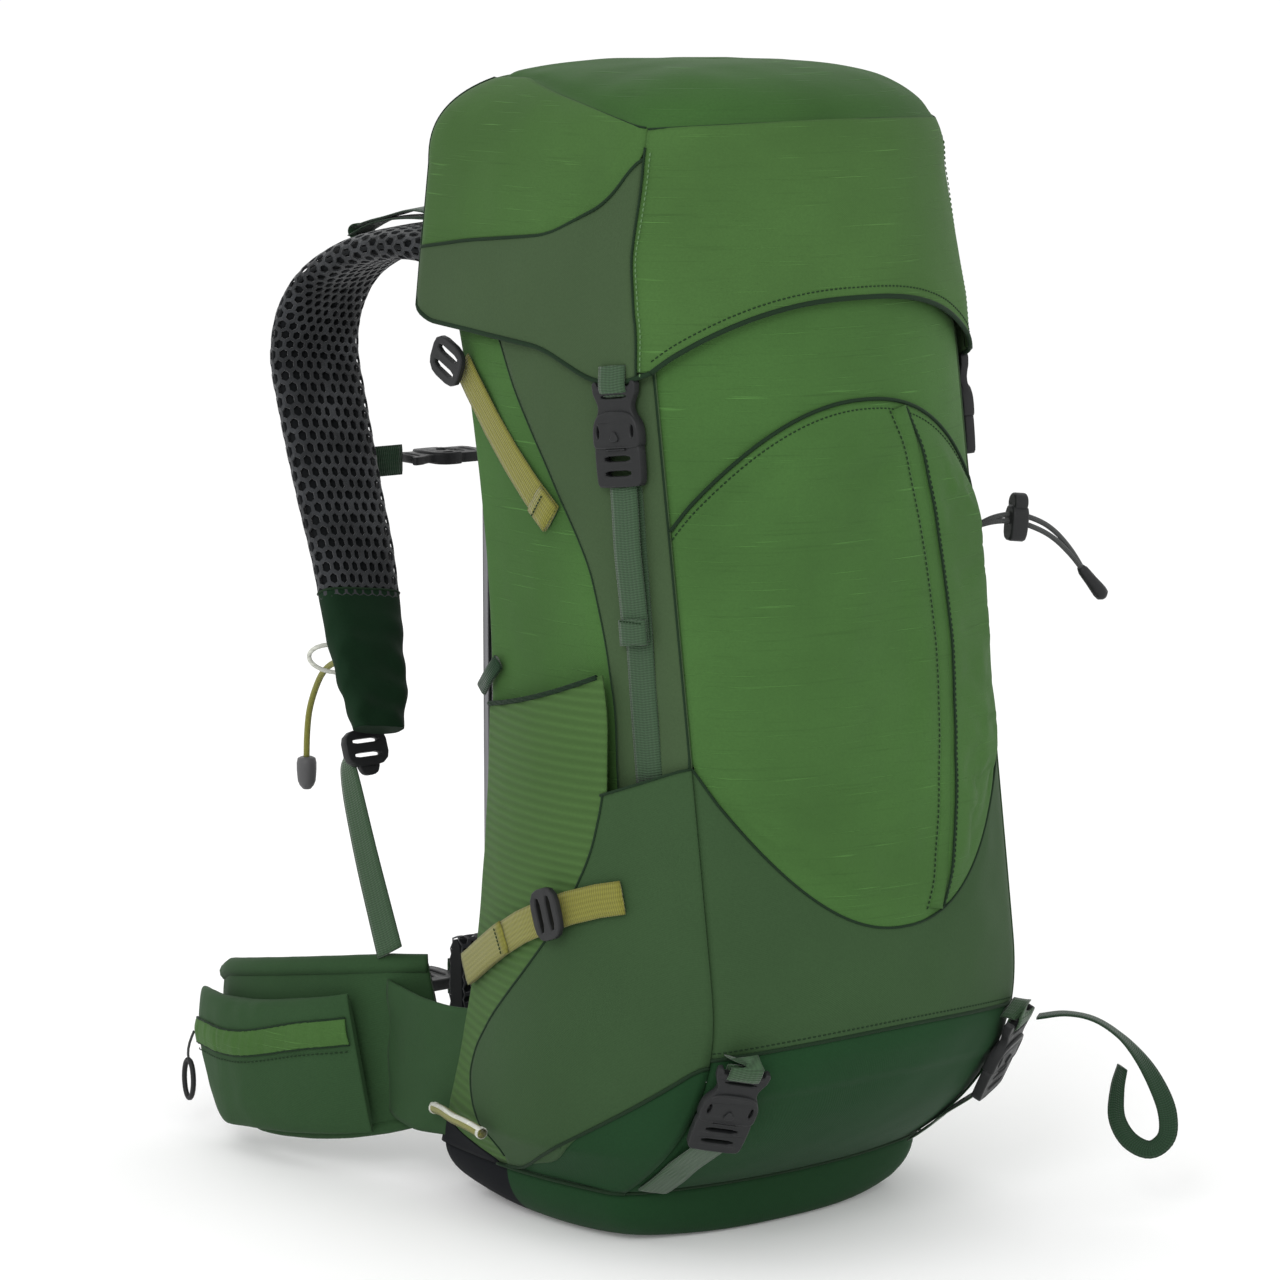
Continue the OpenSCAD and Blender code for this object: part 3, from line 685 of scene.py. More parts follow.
def moulded(name, color, rough=0.42):
    """Moulded plastic: a fine spark-eroded grain, worn paler in random patches and paler along every convex
    edge.
    """
    look = Look(name, rough)
    look.shader.inputs["Specular IOR Level"].default_value = 0.2
    grain = look.noise(2600, 2)
    worn = look.spread(look.noise(60, 4), 0.5, 0.8, 0.0, 0.3)
    # Paler along convex edges, wherever the mesh is pointy.
    edge = look.spread(look.add("NewGeometry", out=7), 0.5, 0.62, 0.0, 0.5)
    base = look.blend(look.math("MAXIMUM", worn, edge), tone(color, 0.9), tone(color, 1.8))
    rough_map = look.spread(look.noise(140, 3), 0.3, 0.7, rough - 0.07, rough + 0.1)
    return look.done(base, grain, 0.00008, rough_map)


def braided(name, color, twist=2.2):
    """Braided cord: two opposed spirals of yarn, from the tube's own u round and v along."""
    look = Look(name, 0.6, 0.2)
    u, v = look.uv_parts()
    waves = []
    for turn in (1.0, -1.0):
        run = look.math("ADD", look.math("MULTIPLY", u, turn), v)
        waves.append(look.math("SINE", look.math("MULTIPLY", run, 2 * math.pi / (twist * MM))))
    yarn = look.spread(look.math("MULTIPLY", waves[0], waves[1]), -1.0, 1.0)
    base = look.blend(yarn, tone(color, 0.55), tone(color, 1.35))
    return look.done(base, yarn, 0.0003)


def metal(name, color):
    """Satin drawn aluminium, with fine lengthwise lines."""
    look = Look(name, 0.34, metallic=1.0)
    lines = look.noise(1.0, 2, (1500, 1500, 30))
    return look.done(look.blend(lines, tone(color, 0.85), tone(color, 1.08)), lines, 0.00003)


def foam_net(name, color):
    """The knitted face of a spacer mesh: thick yarn, pale where it is rubbed."""
    look = Look(name, 0.7, 0.3)
    yarn = look.noise(1300, 3)
    rubbed = look.spread(look.noise(45, 3), 0.42, 0.75)
    base = look.blend(rubbed, tone(color, 0.75), tone(color, 1.7))
    return look.done(look.blend(look.spread(yarn, 0.3, 0.7, 0.0, 0.5), base, tone(color, 0.45)), yarn, 0.0003)


BRIGHT = (0.048, 0.118, 0.029)
BAND = (0.046, 0.080, 0.035)
WRAP = (0.033, 0.070, 0.027)
BASE = (0.010, 0.043, 0.014)
ripstop = cloth("ripstop_green", BRIGHT, slub=0.62, creases=1.0)
lid_cloth = cloth("lid_ripstop_green", (0.051, 0.117, 0.030), slub=0.6, creases=1.0)
# Painted shade: the lid's top is the same ripstop as the rest of the lid, made darker because little light
# falls on it from above.
shaded_crown_cloth = cloth("crown_ripstop_green_painted_shade", (0.036, 0.095, 0.023), slub=0.4, creases=1.1)
gusset_cloth = cloth("gusset_green", BAND, mottle=0.05, creases=0.3)
wrap_cloth = cloth("wrap_green", WRAP, mottle=0.07, creases=0.5)
base_cloth = cloth("base_green", BASE, mottle=0.08, creases=0.5)
coated_cloth = cloth("coated_black", (0.006, 0.007, 0.009), mottle=0.12, sheen=0.0, rough=0.75, creases=0.5)
lining_cloth = cloth("lining_green_black", (0.022, 0.042, 0.028), grid_lines=0.35, rough=0.5, creases=0.8)
stretch_cloth = cloth("stretch_green", (0.060, 0.126, 0.035), rib=2.9, mottle=0.06, creases=0.25)
piping_cloth = cloth("piping_dark_green", (0.011, 0.027, 0.012), mottle=0.1)
binding_cloth = cloth("binding_dark_green", (0.011, 0.028, 0.013), rib=1.2, mottle=0.1)
belt_cloth = cloth("belt_green", (0.027, 0.065, 0.025), mottle=0.08, creases=0.5)
strap_cloth = cloth("strap_green_dark", (0.005, 0.021, 0.008), mottle=0.1, creases=0.4)
foam_cloth = cloth("foam_black", (0.006, 0.007, 0.008), mottle=0.1, sheen=0.1)
net_cloth = foam_net("spacer_net_charcoal", (0.032, 0.034, 0.037))
mesh_cloth = foam_net("back_net_charcoal", (0.017, 0.019, 0.019))
green_tape = webbing("webbing_green", (0.040, 0.078, 0.040))
dark_tape = webbing("webbing_dark_green", (0.015, 0.041, 0.019))
olive_tape = webbing("webbing_olive", (0.194, 0.189, 0.036))
black_plastic = moulded("plastic_dark_grey", (0.0155, 0.0162, 0.0168))
grey_plastic = moulded("plastic_grey", (0.085, 0.085, 0.087))
hip_plastic = moulded("plastic_black", (0.013, 0.013, 0.014))
grey_cord = braided("cord_dark_grey", (0.060, 0.063, 0.062))
olive_cord = braided("cord_olive", (0.215, 0.215, 0.045), 1.6)
zip_tape = webbing("zip_tape_green", (0.034, 0.080, 0.028), 0.8)
thread = cloth("thread_dark", (0.012, 0.030, 0.012), mottle=0.05)
pale_thread = cloth("thread_pale", (0.11, 0.20, 0.09), mottle=0.05)
reflector = cloth("reflective_silver", (0.55, 0.56, 0.50), grid_lines=0.4, mottle=0.05, rough=0.35)
rod_metal = metal("aluminium_satin", (0.20, 0.20, 0.21))
floor_look = Look("studio_floor", 1.0)
floor_look.shader.inputs["Specular IOR Level"].default_value = 0.0
floor_look.shader.inputs["Emission Color"].default_value = (1, 1, 1, 1)
floor_look.shader.inputs["Emission Strength"].default_value = 0.10
white_floor = floor_look.done((0.93, 0.93, 0.93, 1))

SLOTS = {"fabric_bright": (ripstop, lid_cloth, shaded_crown_cloth, stretch_cloth, pale_thread),
         "fabric_dark": (gusset_cloth, wrap_cloth, base_cloth, coated_cloth, piping_cloth, binding_cloth,
                         belt_cloth, strap_cloth, thread),
         "lining": (lining_cloth,),
         "mesh": (net_cloth, mesh_cloth, foam_cloth),
         "webbing_green": (green_tape, dark_tape),
         "webbing_olive": (olive_tape, olive_cord, reflector),
         "zip": (zip_tape,),
         "buckle": (black_plastic, grey_plastic, hip_plastic),
         "cord": (grey_cord,),
         "frame_metal": (rod_metal,)}
SLOT_OF = {look.name: slot for slot, looks in SLOTS.items() for look in looks}


def fit(piece, body="root", nodes=()):
    """Rides a piece on its body and stands it for its nodes."""
    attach(piece, body)
    if nodes:
        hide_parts(*nodes)
    return piece


def once(side, node):
    """A node that holds the pieces of both sides is replaced by the left one."""
    return [node] if side == LEFT else []


# ---- Bag ---------------------------------------------------------------------------------
def ripple(p, size, seed=0.0):
    """Soft, seeded unevenness from -1 to 1."""
    return noise.noise(Vector((p[0] / size + seed, p[1] / size, p[2] / size)))


def wall(name, s_low, s_high, z_low, z_high, out, material, nu=40, nv=40, thick=1.2, shape=outline):
    """A panel of the bag's wall: across it s goes between two edges, up it z does."""
    def at(u, v):
        z = mix(z_low(0.5), z_high(0.5), v)
        s = mix(s_low(z), s_high(z), u)
        z = mix(z_low(s), z_high(s), v)
        s = mix(s_low(z), s_high(z), u)
        return skin(s, z, out(s, z), shape)

    return solid(grid(name, at, nu, nv, material), thick)


def always(value):
    return lambda *_: value


def edges_swell(s, z, s0, s1, z0, z1, reach_s=0.1, reach_z=14):
    """0 at a panel's seams and 1 away from them."""
    a = ramp(s, s0, s0 + reach_s) * ramp(-s, -s1, -s1 + reach_s)
    return a * ramp(z, z0, z0 + reach_z) * ramp(-z, -z1, -z1 + reach_z)


def front_swell(s, z):
    p = skin(s, z)
    return 1.2 * ripple(p, 60) + 0.6 * ripple(p, 24, 5)


def upper_front():
    def out(s, z):
        return 1.5 + front_swell(s, z) * edges_swell(s, z, 0, 1, 300, front_top(s), 0.08, 20)

    fit(wall("front_panel", always(0.0), always(1.0), lambda s: wrap_top(s) + 2, front_top, out, ripstop,
             60, 50), nodes=["front_panel"])


FRONT_SPAN = 240


def zip_line(z):
    return 0.60 + 0.085 * math.sin(math.pi * (z - 206) / 310)


def pocket_out(s, z):
    lift = edges_swell(s, z, 0.0, 1.0, wrap_top(s) - 6, pocket_top(s), 0.10, 34)
    valley = math.exp(-((s - zip_line(z)) / 0.022) ** 2)
    return 2.6 + 7.5 * lift ** 0.7 * (1 - 0.35 * valley) + front_swell(s, z) * lift


def front_pocket():
    def at(u, v):
        z = mix(wrap_top(u) - 5, pocket_top(u), v)
        return skin(mix(0.004, 0.996, u), z, pocket_out(u, z))

    panel = grid("front_pocket", at, 90, 90, ripstop)
    spine = {i for i in range(91 * 91) if abs(i % 91 - spine_column(i // 91)) <= 3}
    relax(panel, rim(90, 90) | spine, 0.45, 0.012, 3.5)
    fit(solid(panel, 1.2), nodes=["front_pocket"])


def rim(nu, nv):
    """The vertices along the edge of a grid()."""
    return {j * (nu + 1) + i for j in range(nv + 1) for i in range(nu + 1) if i in (0, nu) or j in (0, nv)}


def spine_column(row):
    """The pocket's column of vertices that its zip runs over."""
    return round(zip_line(mix(208, 508, row / 90)) * 90)


def seam(name, path, material=None, radius=0.9, body="root"):
    """A sewn seam's dark, sunk line, or a piped edge."""
    return fit(tube(name, path, radius, material or piping_cloth, 8), body)


def lower_front():
    def wrap_out(s, z):
        return 3.8 + 1.4 * front_swell(s, z) * edges_swell(s, z, 0, 1, pad_seam(s), wrap_top(s), 0.12, 16)

    def base_out(s, z):
        flap = ramp(z, pad_seam(s) - 34, pad_seam(s) - 30)
        bulge = edges_swell(s, z, 0, 1, 34, pad_seam(s), 0.1, 14)
        return 1.4 + 1.8 * flap + 2.0 * bulge + 1.2 * front_swell(s, z) * bulge

    fit(wall("lower_front_wrap", always(0.0), always(1.0), pad_seam, wrap_top, wrap_out, wrap_cloth, 70, 50),
        nodes=["lower_front_panel"])
    fit(wall("pad_compartment", always(0.0), always(1.0), always(BASE_Z), pad_seam, base_out, base_cloth,
             70, 36))
    shares = spaced(0, 1, 60)
    seam("wrap_top_seam", [skin(s, wrap_top(s), 4.0) for s in shares], radius=0.8)
    seam("pad_seam_front", [skin(s, pad_seam(s), 3.6) for s in shares], radius=1.2)
    seam("pocket_arch_seam", [skin(s, pocket_top(s) + 0.5, 3.0) for s in shares], radius=1.1)
    rows = [skin(s, pad_seam(s) + 4, wrap_out(s, pad_seam(s) + 4)) for s in shares]
    normals = [flat_outward(s, 140) for s in shares]
    fit(stitches("pad_seam_stitches", rows, normals, thread))
    rows = [skin(s, pocket_top(s) - 5, pocket_out(s, pocket_top(s) - 5)) for s in shares]
    fit(stitches("pocket_arch_stitches", rows, normals, thread))


def front_zip():
    """The pocket's zip lies under a narrow flap, with a line of stitches on either side."""
    heights = [mix(wrap_top(0.62) + 3, pocket_top(0.62) - 3, k / 60) for k in range(61)]

    def row(across, lift):
        places = [(zip_line(z) + across / FRONT_SPAN, z) for z in heights]
        return [skin(s, z, pocket_out(s, z) + lift) for s, z in places]

    normals = [flat_outward(zip_line(z), z) for z in heights]
    flap = ribbon("front_zip_flap", row(0, 1.2), normals, ripstop, 13, 1.4, 0.5)
    fit(flap, nodes=["front_pocket_zip"])
    fit(stitches("front_zip_stitches_left", row(-8.2, 0.4), normals, thread))
    fit(stitches("front_zip_stitches_right", row(8.6, 0.4), normals, thread))
    seam("front_zip_edge", row(6.6, 1.3), radius=0.7)


def side_wall(name, side, rear, front, low, high, out, material, nu=40, nv=50, nodes=()):
    """A panel of one side, its edges given for the left one: s from rear(z) to front(z)."""
    def at(u, v):
        u = u if side == LEFT else 1 - u
        s = mix(3, 4, u)
        for _ in range(5):
            z = mix(low(s), high(s), v)
            s = mix(rear(z), front(z), u)
        return skin(mirrored(s, side), z, out(4 - s, z))

    return fit(solid(grid(name, at, nu, nv, material), 1.2), nodes=nodes)


def band_rear(z):
    return smooth_table(z, BAND_REAR)


def wrap_rear(z):
    return smooth_table(z, WRAP_REAR)


def pocket_front(z):
    return wrap_rear(z) if z < 290 else band_rear(z)


def side_pad_seam(s):
    return smooth_table(s, SIDE_PAD_SEAM)


def side_wrap_top(s):
    return mix(284, 304, (s - 3.71) / 0.29)


def side_path(side, stops, lift):
    """Points along a line on one side, from left-side (s, z) stops."""
    return [skin(mirrored(s, side), z, lift(4 - s, z)) for s, z in stops]


def swell(u, z, side):
    p = (side * 130, u * 240, z)
    return 1.6 * ripple(p, 70, 3) + 0.7 * ripple(p, 26, 8)


def bag_side(side):
    name = SIDES[side]

    def wall_out(u, z):
        return 0.8 + swell(u, z, side) * ramp(u, 0.0, 0.15) * ramp(-u, -1.0, -0.85)

    def gap_out(u, z):
        return stretch_gap(u, z) + 2 + 1.8 * ramp(-u, -0.3, 0.0) + 0.5 * swell(u, z, side) * ramp(u, 0, 0.2)

    def belly(u, z):
        return gap_out(u, z) - 0.5 * ramp(-z, -60, -36)

    side_wall(name + "_side_upper", side, always(3.0), lambda z: band_rear(z) + 0.03, always(36),
              always(WALL_TOP), wall_out, ripstop, nodes=[name + "_side_panel"])
    side_wall(name + "_side_band", side, band_rear, always(4.0), always(262), always(WALL_TOP),
              lambda u, z: wall_out(u, z) + 1.4, gusset_cloth, 24)
    side_wall(name + "_side_wrap", side, wrap_rear, always(4.0), side_pad_seam, side_wrap_top,
              gap_out, wrap_cloth, 40, 60)
    side_wall(name + "_pad_side", side, always(3.42), always(4.0), always(BASE_Z), side_pad_seam,
              lambda u, z: belly(u, z) - 0.6, base_cloth, 40, 20)
    side_wall(name + "_stretch_pocket", side, always(3.01), lambda z: pocket_front(z) + 0.01,
              always(36), lambda s: stretch_top(4 - s), lambda u, z: gap_out(u, z) - 0.7,
              stretch_cloth, 44, 60, nodes=[name + "_stretch_pocket"])
    side_wall(name + "_corner_patch", side, always(3.0), lambda z: 3.03 + 0.40 * ramp(-z, -56, -34),
              always(BASE_Z), always(58), lambda u, z: gap_out(u, z) + 0.3, coated_cloth, 16, 8)
    heights = spaced(262, WALL_TOP - 4, 40)
    seam(name + "_band_seam", side_path(side, [(band_rear(z), z) for z in heights],
                                        lambda u, z: wall_out(u, z) + 1.2), radius=0.7)
    heights = spaced(44, 284, 50)
    seam(name + "_wrap_seam", side_path(side, [(wrap_rear(z), z) for z in heights],
                                        lambda u, z: gap_out(u, z) - 0.1), radius=0.8)
    shares = spaced(3.42, 4.0, 40)
    edge = [(s, side_pad_seam(s)) for s in shares]
    seam(name + "_pad_side_seam", side_path(side, edge, gap_out), radius=1.1)
    shares = spaced(3.01, 3.70, 40)
    edge = [(s, stretch_top(4 - s)) for s in shares]
    seam(name + "_stretch_hem", side_path(side, edge, lambda u, z: gap_out(u, z) - 0.6), binding_cloth, 1.5)
    shares = spaced(3.70, 4.0, 12)
    edge = [(s, side_wrap_top(s)) for s in shares]
    seam(name + "_wrap_top_seam", side_path(side, edge, gap_out), radius=0.8)
    corner = [(z, 2.2 if z > 304 else 4.0) for z in range(136, 548, 6)]
    seam(name + "_corner_seam", [skin(mirrored(3.995, side), z, out - 0.3) for z, out in corner], radius=0.8)
    corner = [skin(mirrored(3.995, side), z, 2.4) for z in range(36, 134, 6)]
    seam(name + "_corner_seam_low", corner, radius=0.7)
    u = 0.93
    spot = skin(mirrored(4 - u, side), 338, wall_out(u, 338) + 5)
    path = [spot + Vector((0, -9, 9)), spot, spot + Vector((0, 8, -10))]
    normals = [flat_outward(mirrored(4 - u, side), 338)] * 3
    fit(ribbon(name + "_side_tab", path, normals, dark_tape, 10, 3))


def floor_reach(d):
    """How far the flat oval floor reaches from its middle in the direction d."""
    across = abs(d.x / FLOOR_HALF_X) ** FLOOR_POWER
    along = abs(d.y / FLOOR_HALF_Y) ** FLOOR_POWER
    return (across + along) ** (-1 / FLOOR_POWER)


def rear_and_base():
    def back_out(s, z):
        p = skin(s, z)
        return 0.4 + 1.5 * ripple(p, 70, 9) * edges_swell(s, z, 2, 3, 36, WALL_TOP, 0.2, 30)

    fit(wall("back_panel", always(2.0), always(3.0), always(36), always(WALL_TOP), back_out, lining_cloth,
             40, 60), nodes=["back_panel"])

    def tray(u, v):
        turn = min(v / FLOOR_SHARE, 1.0) * math.pi / 2
        middle = Vector((0, FLOOR_MIDDLE_Y, BASE_Z))
        away = skin(4 * u, BASE_Z, 1.2) - middle
        d = away.normalized()
        p = middle + d * mix(away.length, floor_reach(d), 1 - math.cos(turn))
        p.z = BASE_Z - (BASE_Z - 0.4) * math.sin(turn)
        if v > FLOOR_SHARE:
            p = p.lerp(Vector((0, FLOOR_MIDDLE_Y, p.z)), (v - FLOOR_SHARE) / (1 - FLOOR_SHARE))
            p.z = 0.4
        return p

    around = 96
    base = grid("base_tray", tray, around, 28, base_cloth, loop_u=True)
    base.data.materials.append(coated_cloth)
    for face in base.data.polygons:
        s = face.index % around * 4 / around
        low = face.center.z < 30 * MM
        face.material_index = 1 if 1.58 < s < 3.42 or (low and face.index // around > 18) else 0
    for face in base.data.polygons:
        face.flip()
    fit(solid(base, 1.2), nodes=["base_panel"])
    for side in SIDES:
        shares = spaced(3.42, 4.0, 30)
        path = [skin(mirrored(s, side), 35, 3.0 + stretch_gap(4 - s, 35)) for s in shares]
        seam(SIDES[side] + "_base_seam", path, radius=1.1)
    seam("base_seam_front", [skin(k / 50, 35, 2.0) for k in range(51)], radius=1.1)


def collar():
    """The bag's mouth: thin cloth drawn into pleats by its cord."""
    centre = Vector((0, 52))

    def at(s4, v):
        s = 4 * s4
        a = math.radians(-135 + 90 * s)
        low = skin(s, front_top(s) if s < 1 else WALL_TOP, -1)
        ring = centre + Vector((62 * math.cos(a), 46 * math.sin(a)))
        k = v * v * (3 - 2 * v)
        pleat = 3.4 * k * math.sin(26 * a + 2 * math.sin(3 * a)) + 1.2 * k * math.sin(61 * a)
        p = Vector((low.x, low.y)).lerp(ring, k)
        p -= (p - centre).normalized() * (1.0 + pleat * 0.6 + 1.5 * k)
        return Vector((p.x, p.y, mix(low.z, 622, v)))

    fit(solid(grid("collar", at, 320, 20, lining_cloth, loop_u=True), 0.8), nodes=["collar"])
    ring = []
    for k in range(73):
        a = 2 * math.pi * k / 72 - math.pi / 2
        ring.append(Vector((70 * math.cos(a), 52 + 54.6 * math.sin(a), 617.5)))
    fit(tube("collar_drawcord", ring, 1.5, grey_cord, 8), nodes=["collar_drawcord"])


upper_front()
front_pocket()
lower_front()
front_zip()
for side in SIDES:
    bag_side(side)
rear_and_base()
collar()


# ---- Lid ---------------------------------------------------------------------------------
# Above its wall the lid's height is LID_WALL_Z plus an angle, 0 at the wall and 90 at the crown.
CROWN_MIDDLE = Vector((0, 62))
LID_ZIP_Z = 640


def rise(z):
    return LID_WALL_Z + math.degrees(math.asin(max(0.0, (z - LID_WALL_Z) / (CROWN_Z - LID_WALL_Z)) ** 1.25))


def lid_point(s, h, out=0.0):
    wall_z = min(h, LID_WALL_Z)
    p = skin(s, wall_z, out, lid_outline)
    if h > LID_WALL_Z:
        a = math.radians(min(h - LID_WALL_Z, 90))
        k = max(math.cos(a), 0.0) ** 0.6
        flat = CROWN_MIDDLE.lerp(Vector((p.x, p.y)), k)
        height = LID_WALL_Z + (CROWN_Z - LID_WALL_Z) * math.sin(a) ** 0.8
        return Vector((flat.x, flat.y, height + out * math.sin(a)))
    return p


def lid_share(s):
    s %= 4
    return s - 1 if s < 2 else 4 - s


def lid_low(s):
    s %= 4
    if s < 1:
        return 532 + 40 * arch(s, 2.5)
    if 2 <= s <= 3:
        return HINGE_Z
    return smooth_table(lid_share(s), LID_HEM)


LID_HEM = [(-0.1, 536), (0.0, 533), (0.07, 525), (0.2, 524), (0.38, 541), (0.7, 547), (0.93, 550), (1.0, 562)]
GUSSET_TOP = [(-0.02, 660), (0.125, 628), (0.36, 607), (0.72, 600), (1.0, 592), (1.1, 590)]
GUSSET_FRONT = [(520, 3.955), (556, 3.972), (596, 3.962), (628, 3.985), (656, 4.0), (670, 4.0)]
TOP_SEAM = [(0.0, 20), (0.3, 34), (0.7, 50), (1.0, 50)]


def gusset_top(s):
    z = smooth_table(lid_share(s), GUSSET_TOP)
    return z if z < LID_WALL_Z else rise(z)


def gusset_front(h):
    return smooth_table(h, GUSSET_FRONT)


def top_seam(s):
    s %= 4
    if s < 1:
        return LID_WALL_Z + 20 + 4 * arch(s, 2)
    if 2 <= s <= 3:
        return LID_WALL_Z + 50
    return LID_WALL_Z + smooth_table(lid_share(s), TOP_SEAM)


def lid_lump(s, h):
    p = lid_point(s, h)
    return 1.5 * ripple(p, 75, 12) + 0.8 * ripple(p, 28, 4)


def lid_panel(name, side, rear, front, low, high, out, material, nu=40, nv=40, nodes=()):
    """A lid panel; on the left side s runs from rear(h) to front(h), and the right mirrors it."""
    def at(u, v):
        u = u if side == LEFT else 1 - u
        s = mix(3, 4, u)
        for _ in range(5):
            h = mix(low(s), high(s), v)
            s = mix(rear(h), front(h), u)
        return lid_point(mirrored(s, side), h, out(s, h))

    return fit(solid(grid(name, at, nu, nv, material), 1.4), "lid", nodes)


def lid_side(side):
    name = SIDES[side] + "_lid"

    def out(s, h):
        puff = ramp(s, 3.0, 3.15) * ramp(-s, -4.0, -3.85)
        return 0.6 + (1.2 + lid_lump(s, h)) * puff

    lid_panel(name + "_gusset", side, always(3.0), gusset_front, lid_low, gusset_top,
              lambda s, h: 1.0 + 0.6 * lid_lump(s, h) * ramp(s, 3.0, 3.1) * ramp(-s, -3.95, -3.85),
              gusset_cloth, 50, 40)
    lid_panel(name + "_upper", side, always(3.0), always(4.0), gusset_top, top_seam,
              lambda s, h: 0.6 + (2.2 + lid_lump(s, h)) * ramp(h, gusset_top(s), gusset_top(s) + 14)
              * ramp(s, 3.0, 3.15) * ramp(-s, -4.0, -3.9), lid_cloth, 50, 50)
    shares = spaced(3.0, 3.995, 60)
    seam(name + "_gusset_seam", [lid_point(mirrored(s, side), gusset_top(s), 1.0) for s in shares],
         radius=1.0, body="lid")
    seam(name + "_top_seam", [lid_point(mirrored(s, side), top_seam(s), 0.7) for s in shares],
         radius=0.7, body="lid")
    rises = [mix(lid_low(3.96), gusset_top(4.0), k / 40) for k in range(41)]
    front_edge = [lid_point(mirrored(gusset_front(h), side), h, 1.2) for h in rises]
    seam(name + "_gusset_front_seam", front_edge, radius=0.7, body="lid")
    inset = [lid_point(mirrored(gusset_front(h) + 0.014, side), h, 1.6) for h in rises]
    normals = [flat_outward(mirrored(3.98, side), 600, lid_outline)] * len(inset)
    fit(stitches(name + "_gusset_stitches", inset, normals, pale_thread), "lid")
    hem = [lid_point(mirrored(s, side), lid_low(s), 0.6) for s in spaced(3.0, 4.0, 50)]
    seam(name + "_hem", hem, piping_cloth, 1.5, "lid")
    heights = [mix(lid_low(3.0), top_seam(3.0), k / 30) for k in range(31)]
    rear = [lid_point(mirrored(3.0, side), h, 0.8) for h in heights]
    seam(name + "_rear_seam", rear, radius=0.9, body="lid")


def lid():
    def front_out(s, h):
        edge = ramp(h, lid_low(s), lid_low(s) + 16)
        return 0.8 + (1.8 + lid_lump(s, h)) * edge * edges_swell(s, 0, 0, 1, -99, 99, 0.12)

    def front(u, v):
        s = mix(0, 1, u)
        for _ in range(4):
            h = mix(lid_low(s % 4 if 0 <= s <= 1 else 0.0), top_seam(min(max(s, 0), 1)), v)
            inset = 4 - gusset_front(h)
            s = mix(-inset, 1 + inset, u)
        return lid_point(s, h, front_out(s, h))

    fit(solid(grid("lid_front", front, 80, 60, lid_cloth), 1.4), "lid", ["lid_shell"])

    def rear(u, v):
        s = 2 + u
        h = mix(HINGE_Z, top_seam(s), v)
        puff = (1 - math.exp(-((h - LID_ZIP_Z) / 12) ** 2)) * ramp(u, 0, 0.1) * ramp(-u, -1, -0.9)
        return lid_point(s, h, 0.8 + (1.5 + lid_lump(s, h)) * puff)

    fit(solid(grid("lid_rear", rear, 50, 30, lid_cloth), 1.4), "lid")

    def top(u, v):
        s = 4 * u
        h = mix(top_seam(s), LID_WALL_Z + 89.999, v)
        sag = 1.8 * math.exp(-((v - 0.08) / 0.07) ** 2)
        p = lid_point(s, h, 0.6 + lid_lump(s, h) * 1.2 * ramp(v, 0.0, 0.2) * ramp(-v, -1.0, -0.7))
        p.z -= sag
        return p

    # The crown wears the darkened cloth: painted shade on the lid's top.
    fit(solid(grid("lid_crown", top, 160, 30, shaded_crown_cloth, loop_u=True), 1.4), "lid")
    shares = spaced(0, 1, 60)
    seam("lid_top_seam_front", [lid_point(s, top_seam(s), 0.6) for s in shares], radius=0.7, body="lid")
    seam("lid_front_hem", [lid_point(s, lid_low(s), 0.8) for s in shares], piping_cloth, 1.5, "lid")
    seam("lid_rear_hem", [lid_point(2 + s, HINGE_Z, 0.2) for s in shares], piping_cloth, 1.3, "lid")
    path = [lid_point(s, lid_low(s) + 6, front_out(s, lid_low(s) + 6)) for s in shares]
    normals = [flat_outward(s, 560, lid_outline) for s in shares]
    fit(stitches("lid_hem_stitches", path, normals, thread), "lid")
    for side in SIDES:
        lid_side(side)

    def floor(u, v):
        s = 4 * u
        p = skin(s, 636, -6.5, lid_outline).lerp(Vector((0, 52, 636)), v)
        p.z = 637 + 1.6 * ripple(p, 40, 2) * ramp(v, 0, 0.2)
        return p

    under = grid("lid_floor", floor, 96, 24, lining_cloth, loop_u=True)
    fit(solid(under, 1.2), "lid", ["lid_floor"])
    tape = [Vector((x, LID_REAR_Y + 1.9, LID_ZIP_Z)) for x in range(-108, 109, 6)]
    fit(ribbon("lid_zip_tape", tape, [(0, 1, 0)] * len(tape), zip_tape, 12, 1.6), "lid", ["lid_zip"])
    coil = [Vector((x, LID_REAR_Y + 3.0, LID_ZIP_Z)) for x in range(-106, 107, 2)]
    fit(tube("lid_zip_coil", coil, 1.3, hip_plastic, 8), "lid")


lid()


# ---- Buckles -----------------------------------------------------------------------------
# As in the frame, a buckle has Z along its strap, X across and -Y away from the bag, with the
# socket above the parting line at 0 and the plug below it.
def soften(loop, times=2):
    """Rounds a closed outline's corners."""
    for _ in range(times):
        out = []
        for (x0, y0), (x1, y1) in zip(loop, loop[1:] + loop[:1]):
            out += [(mix(x0, x1, 0.2), mix(y0, y1, 0.2)), (mix(x0, x1, 0.8), mix(y0, y1, 0.8))]
        loop = out
    return loop


def both_sides(half):
    """A closed outline from its right half, given from the bottom up."""
    return half + [(-x, z) for x, z in reversed(half)]


def box_loop(x, z0, z1):
    return [(-x, z0), (x, z0), (x, z1), (-x, z1)]


def oval(x, z, rx, rz, n=20):
    turns = [2 * math.pi * k / n for k in range(n)]
    return [(x + rx * math.cos(a), z + rz * math.sin(a)) for a in turns]


